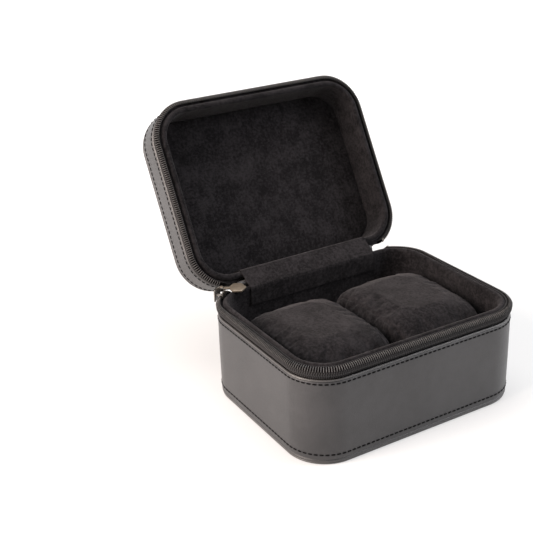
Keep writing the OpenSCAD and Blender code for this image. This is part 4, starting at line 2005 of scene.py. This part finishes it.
@dataclass(frozen=True)
class Shot:
    """The photograph's camera, in degrees and metres."""

    azimuth: float = -29.764
    elevation: float = 23.964
    roll: float = -2.201
    distance: float = 553.504 * MM
    lens: float = 68.39
    sensor: float = 36.0
    target: Triple = (0.0, 0.0, 60 * MM)
    right: float = -51.927 * MM
    up: float = 16.113 * MM

    def build(self) -> None:
        """Makes the camera."""
        a, e, r = (math.radians(v) for v in (self.azimuth, self.elevation, self.roll))
        back = Vector((math.sin(a) * math.cos(e), -math.cos(a) * math.cos(e), math.sin(e)))
        right = Vector((math.cos(a), math.sin(a), 0))
        up = back.cross(right)
        place = Vector(self.target) + right * self.right + up * self.up + back * self.distance
        rolled_right = right * math.cos(r) + up * math.sin(r)
        rolled_up = up * math.cos(r) - right * math.sin(r)
        data = bpy.data.cameras.new("camera")
        data.sensor_fit = "HORIZONTAL"
        data.sensor_width = self.sensor
        data.lens = self.lens
        data.clip_start, data.clip_end = 0.02, 20.0
        camera = put("camera", data)
        axes = Matrix((rolled_right, rolled_up, back)).transposed().to_4x4()
        camera.matrix_world = Matrix.Translation(place) @ axes
        bpy.context.scene.camera = camera


@dataclass(frozen=True)
class Softbox:
    """A rectangular lamp that looks at the case."""

    name: str
    place: Triple
    size: tuple[float, float]
    power: float
    colour: Triple
    aim: Triple = (0.0, 0.0, 0.05)

    def build(self) -> None:
        """Makes the lamp."""
        data = bpy.data.lights.new(self.name, "AREA")
        data.shape = "RECTANGLE"
        data.size, data.size_y = self.size
        data.energy = self.power
        data.color = self.colour
        away = Vector(self.place) - Vector(self.aim)
        turn = away.to_track_quat("Z", "Y").to_matrix().to_4x4()
        put(self.name, data).matrix_world = Matrix.Translation(self.place) @ turn


@dataclass
class Studio:
    """A pale floor, soft light and the world round them.

    Attributes:
        sky: The world's strength as a light, and backdrop its strength where it is seen.
        floor: The floor's grey, and glow its own light near the case and away from it.
        boxes: The lamps.
    """

    sky: float = 0.30
    backdrop: float = 1.05
    floor: float = 0.5
    glow: tuple[float, float] = (0.42, 0.86)
    boxes: tuple[Softbox, ...] = (
        Softbox("key_left", (-1.05, 0.12, 0.55), (0.70, 0.75), 25.0, (1.0, 0.86, 0.775)),
        Softbox("fill_front", (1.0, -0.60, 0.75), (0.7, 0.5), 10.5, (0.97, 0.96, 1.0)),
        Softbox("overhead", (0.1, 0.1, 1.2), (0.9, 0.8), 7.5, (1.0, 0.985, 0.97)),
    )

    @staticmethod
    def shown(tree: Tree) -> Value:
        """Finds the rays that show the background: the camera's, and those off metal or through glass.

        Args:
            tree: The tree of the world or of the floor's material.

        Returns:
            A value that is 1 for such a ray and 0 for any other.
        """
        path = tree.node("ShaderNodeLightPath").outputs
        total = path["Is Camera Ray"]
        add = {"operation": "ADD", "use_clamp": True}
        for name in ("Is Glossy Ray", "Is Transmission Ray"):
            total = tree.node("ShaderNodeMath", add, {0: total, 1: path[name]}).outputs[0]
        return Value(tree, total)

    def world(self) -> None:
        """Lights the scene evenly and shows white behind it."""
        world = bpy.data.worlds.new("world")
        bpy.context.scene.world = world
        world.use_nodes = True
        tree = Tree(world.node_tree)
        levels = {0: self.shown(tree), 2: self.sky, 3: self.backdrop}
        mix = tree.node("ShaderNodeMix", {"data_type": "FLOAT"}, levels)
        background = world.node_tree.nodes["Background"].inputs
        tree.feed(background["Strength"], mix.outputs[0])
        tree.feed(background["Color"], rgba((1.0, 1.0, 1.0)))

    def ground(self) -> None:
        """Makes the floor, which glows a little so that it stays pale outside the shadow."""
        paint = Paint("floor_white")
        paint.set(Base_Color=rgba((self.floor,) * 3), Roughness=1.0, Specular_IOR_Level=0.0)
        away = paint.node("ShaderNodeVectorMath", {"operation": "LENGTH"}, {0: paint.object_space()})
        glow = Value(paint, away.outputs["Value"]).span(0.16, 0.55, *self.glow)
        paint.set(Emission_Color=rgba((1.0, 1.0, 1.0)), Emission_Strength=self.shown(paint) * glow)
        data = bpy.data.meshes.new("floor")
        side, drop = 6.0, 0.2 * MM
        corners = [(-side, -side, 0), (side, -side, 0), (side, side, 0), (-side, side, 0)]
        data.from_pydata(corners, [], [(0, 1, 2, 3)])
        data.materials.append(paint.material)
        floor = put("floor", data)
        floor.location.z = -drop

    def build(self) -> None:
        """Builds the stage."""
        self.world()
        self.ground()
        for lamp in self.boxes:
            lamp.build()
        view = bpy.context.scene.view_settings
        view.view_transform = "Standard"
        view.look = "None"
        view.exposure = 0.0
        view.gamma = 1.0


def paint_kept_nodes(finishes: Finishes) -> None:
    """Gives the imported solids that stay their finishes.

    Args:
        finishes: The finishes.
    """
    kept = {
        finishes.board: ("base_wall_board", "base_floor_board", "lid_wall_board", "lid_top_board"),
        finishes.foam: ("lid_top_foam", "cushion_left_core", "cushion_right_core"),
        finishes.dull_nickel: ("base_zip_stops", "lid_zip_stop"),
    }
    for material, names in kept.items():
        for name in names:
            for place in frame["nodes"][name].material_slots:
                place.material = material


def main() -> None:
    """Builds the case piece by piece."""
    logging.basicConfig(level=logging.INFO, format="%(name)s: %(message)s")
    finishes = Finishes()
    case = Measures.from_frame()
    Shell(case, finishes).build()
    HingeCloth(case, finishes).build()
    Zipper(case, finishes).build()
    for side in (-1, 1):
        Cushion(finishes, side).build()
    paint_kept_nodes(finishes)
    Studio().build()
    Shot().build()


if __name__ == "__main__":
    main()
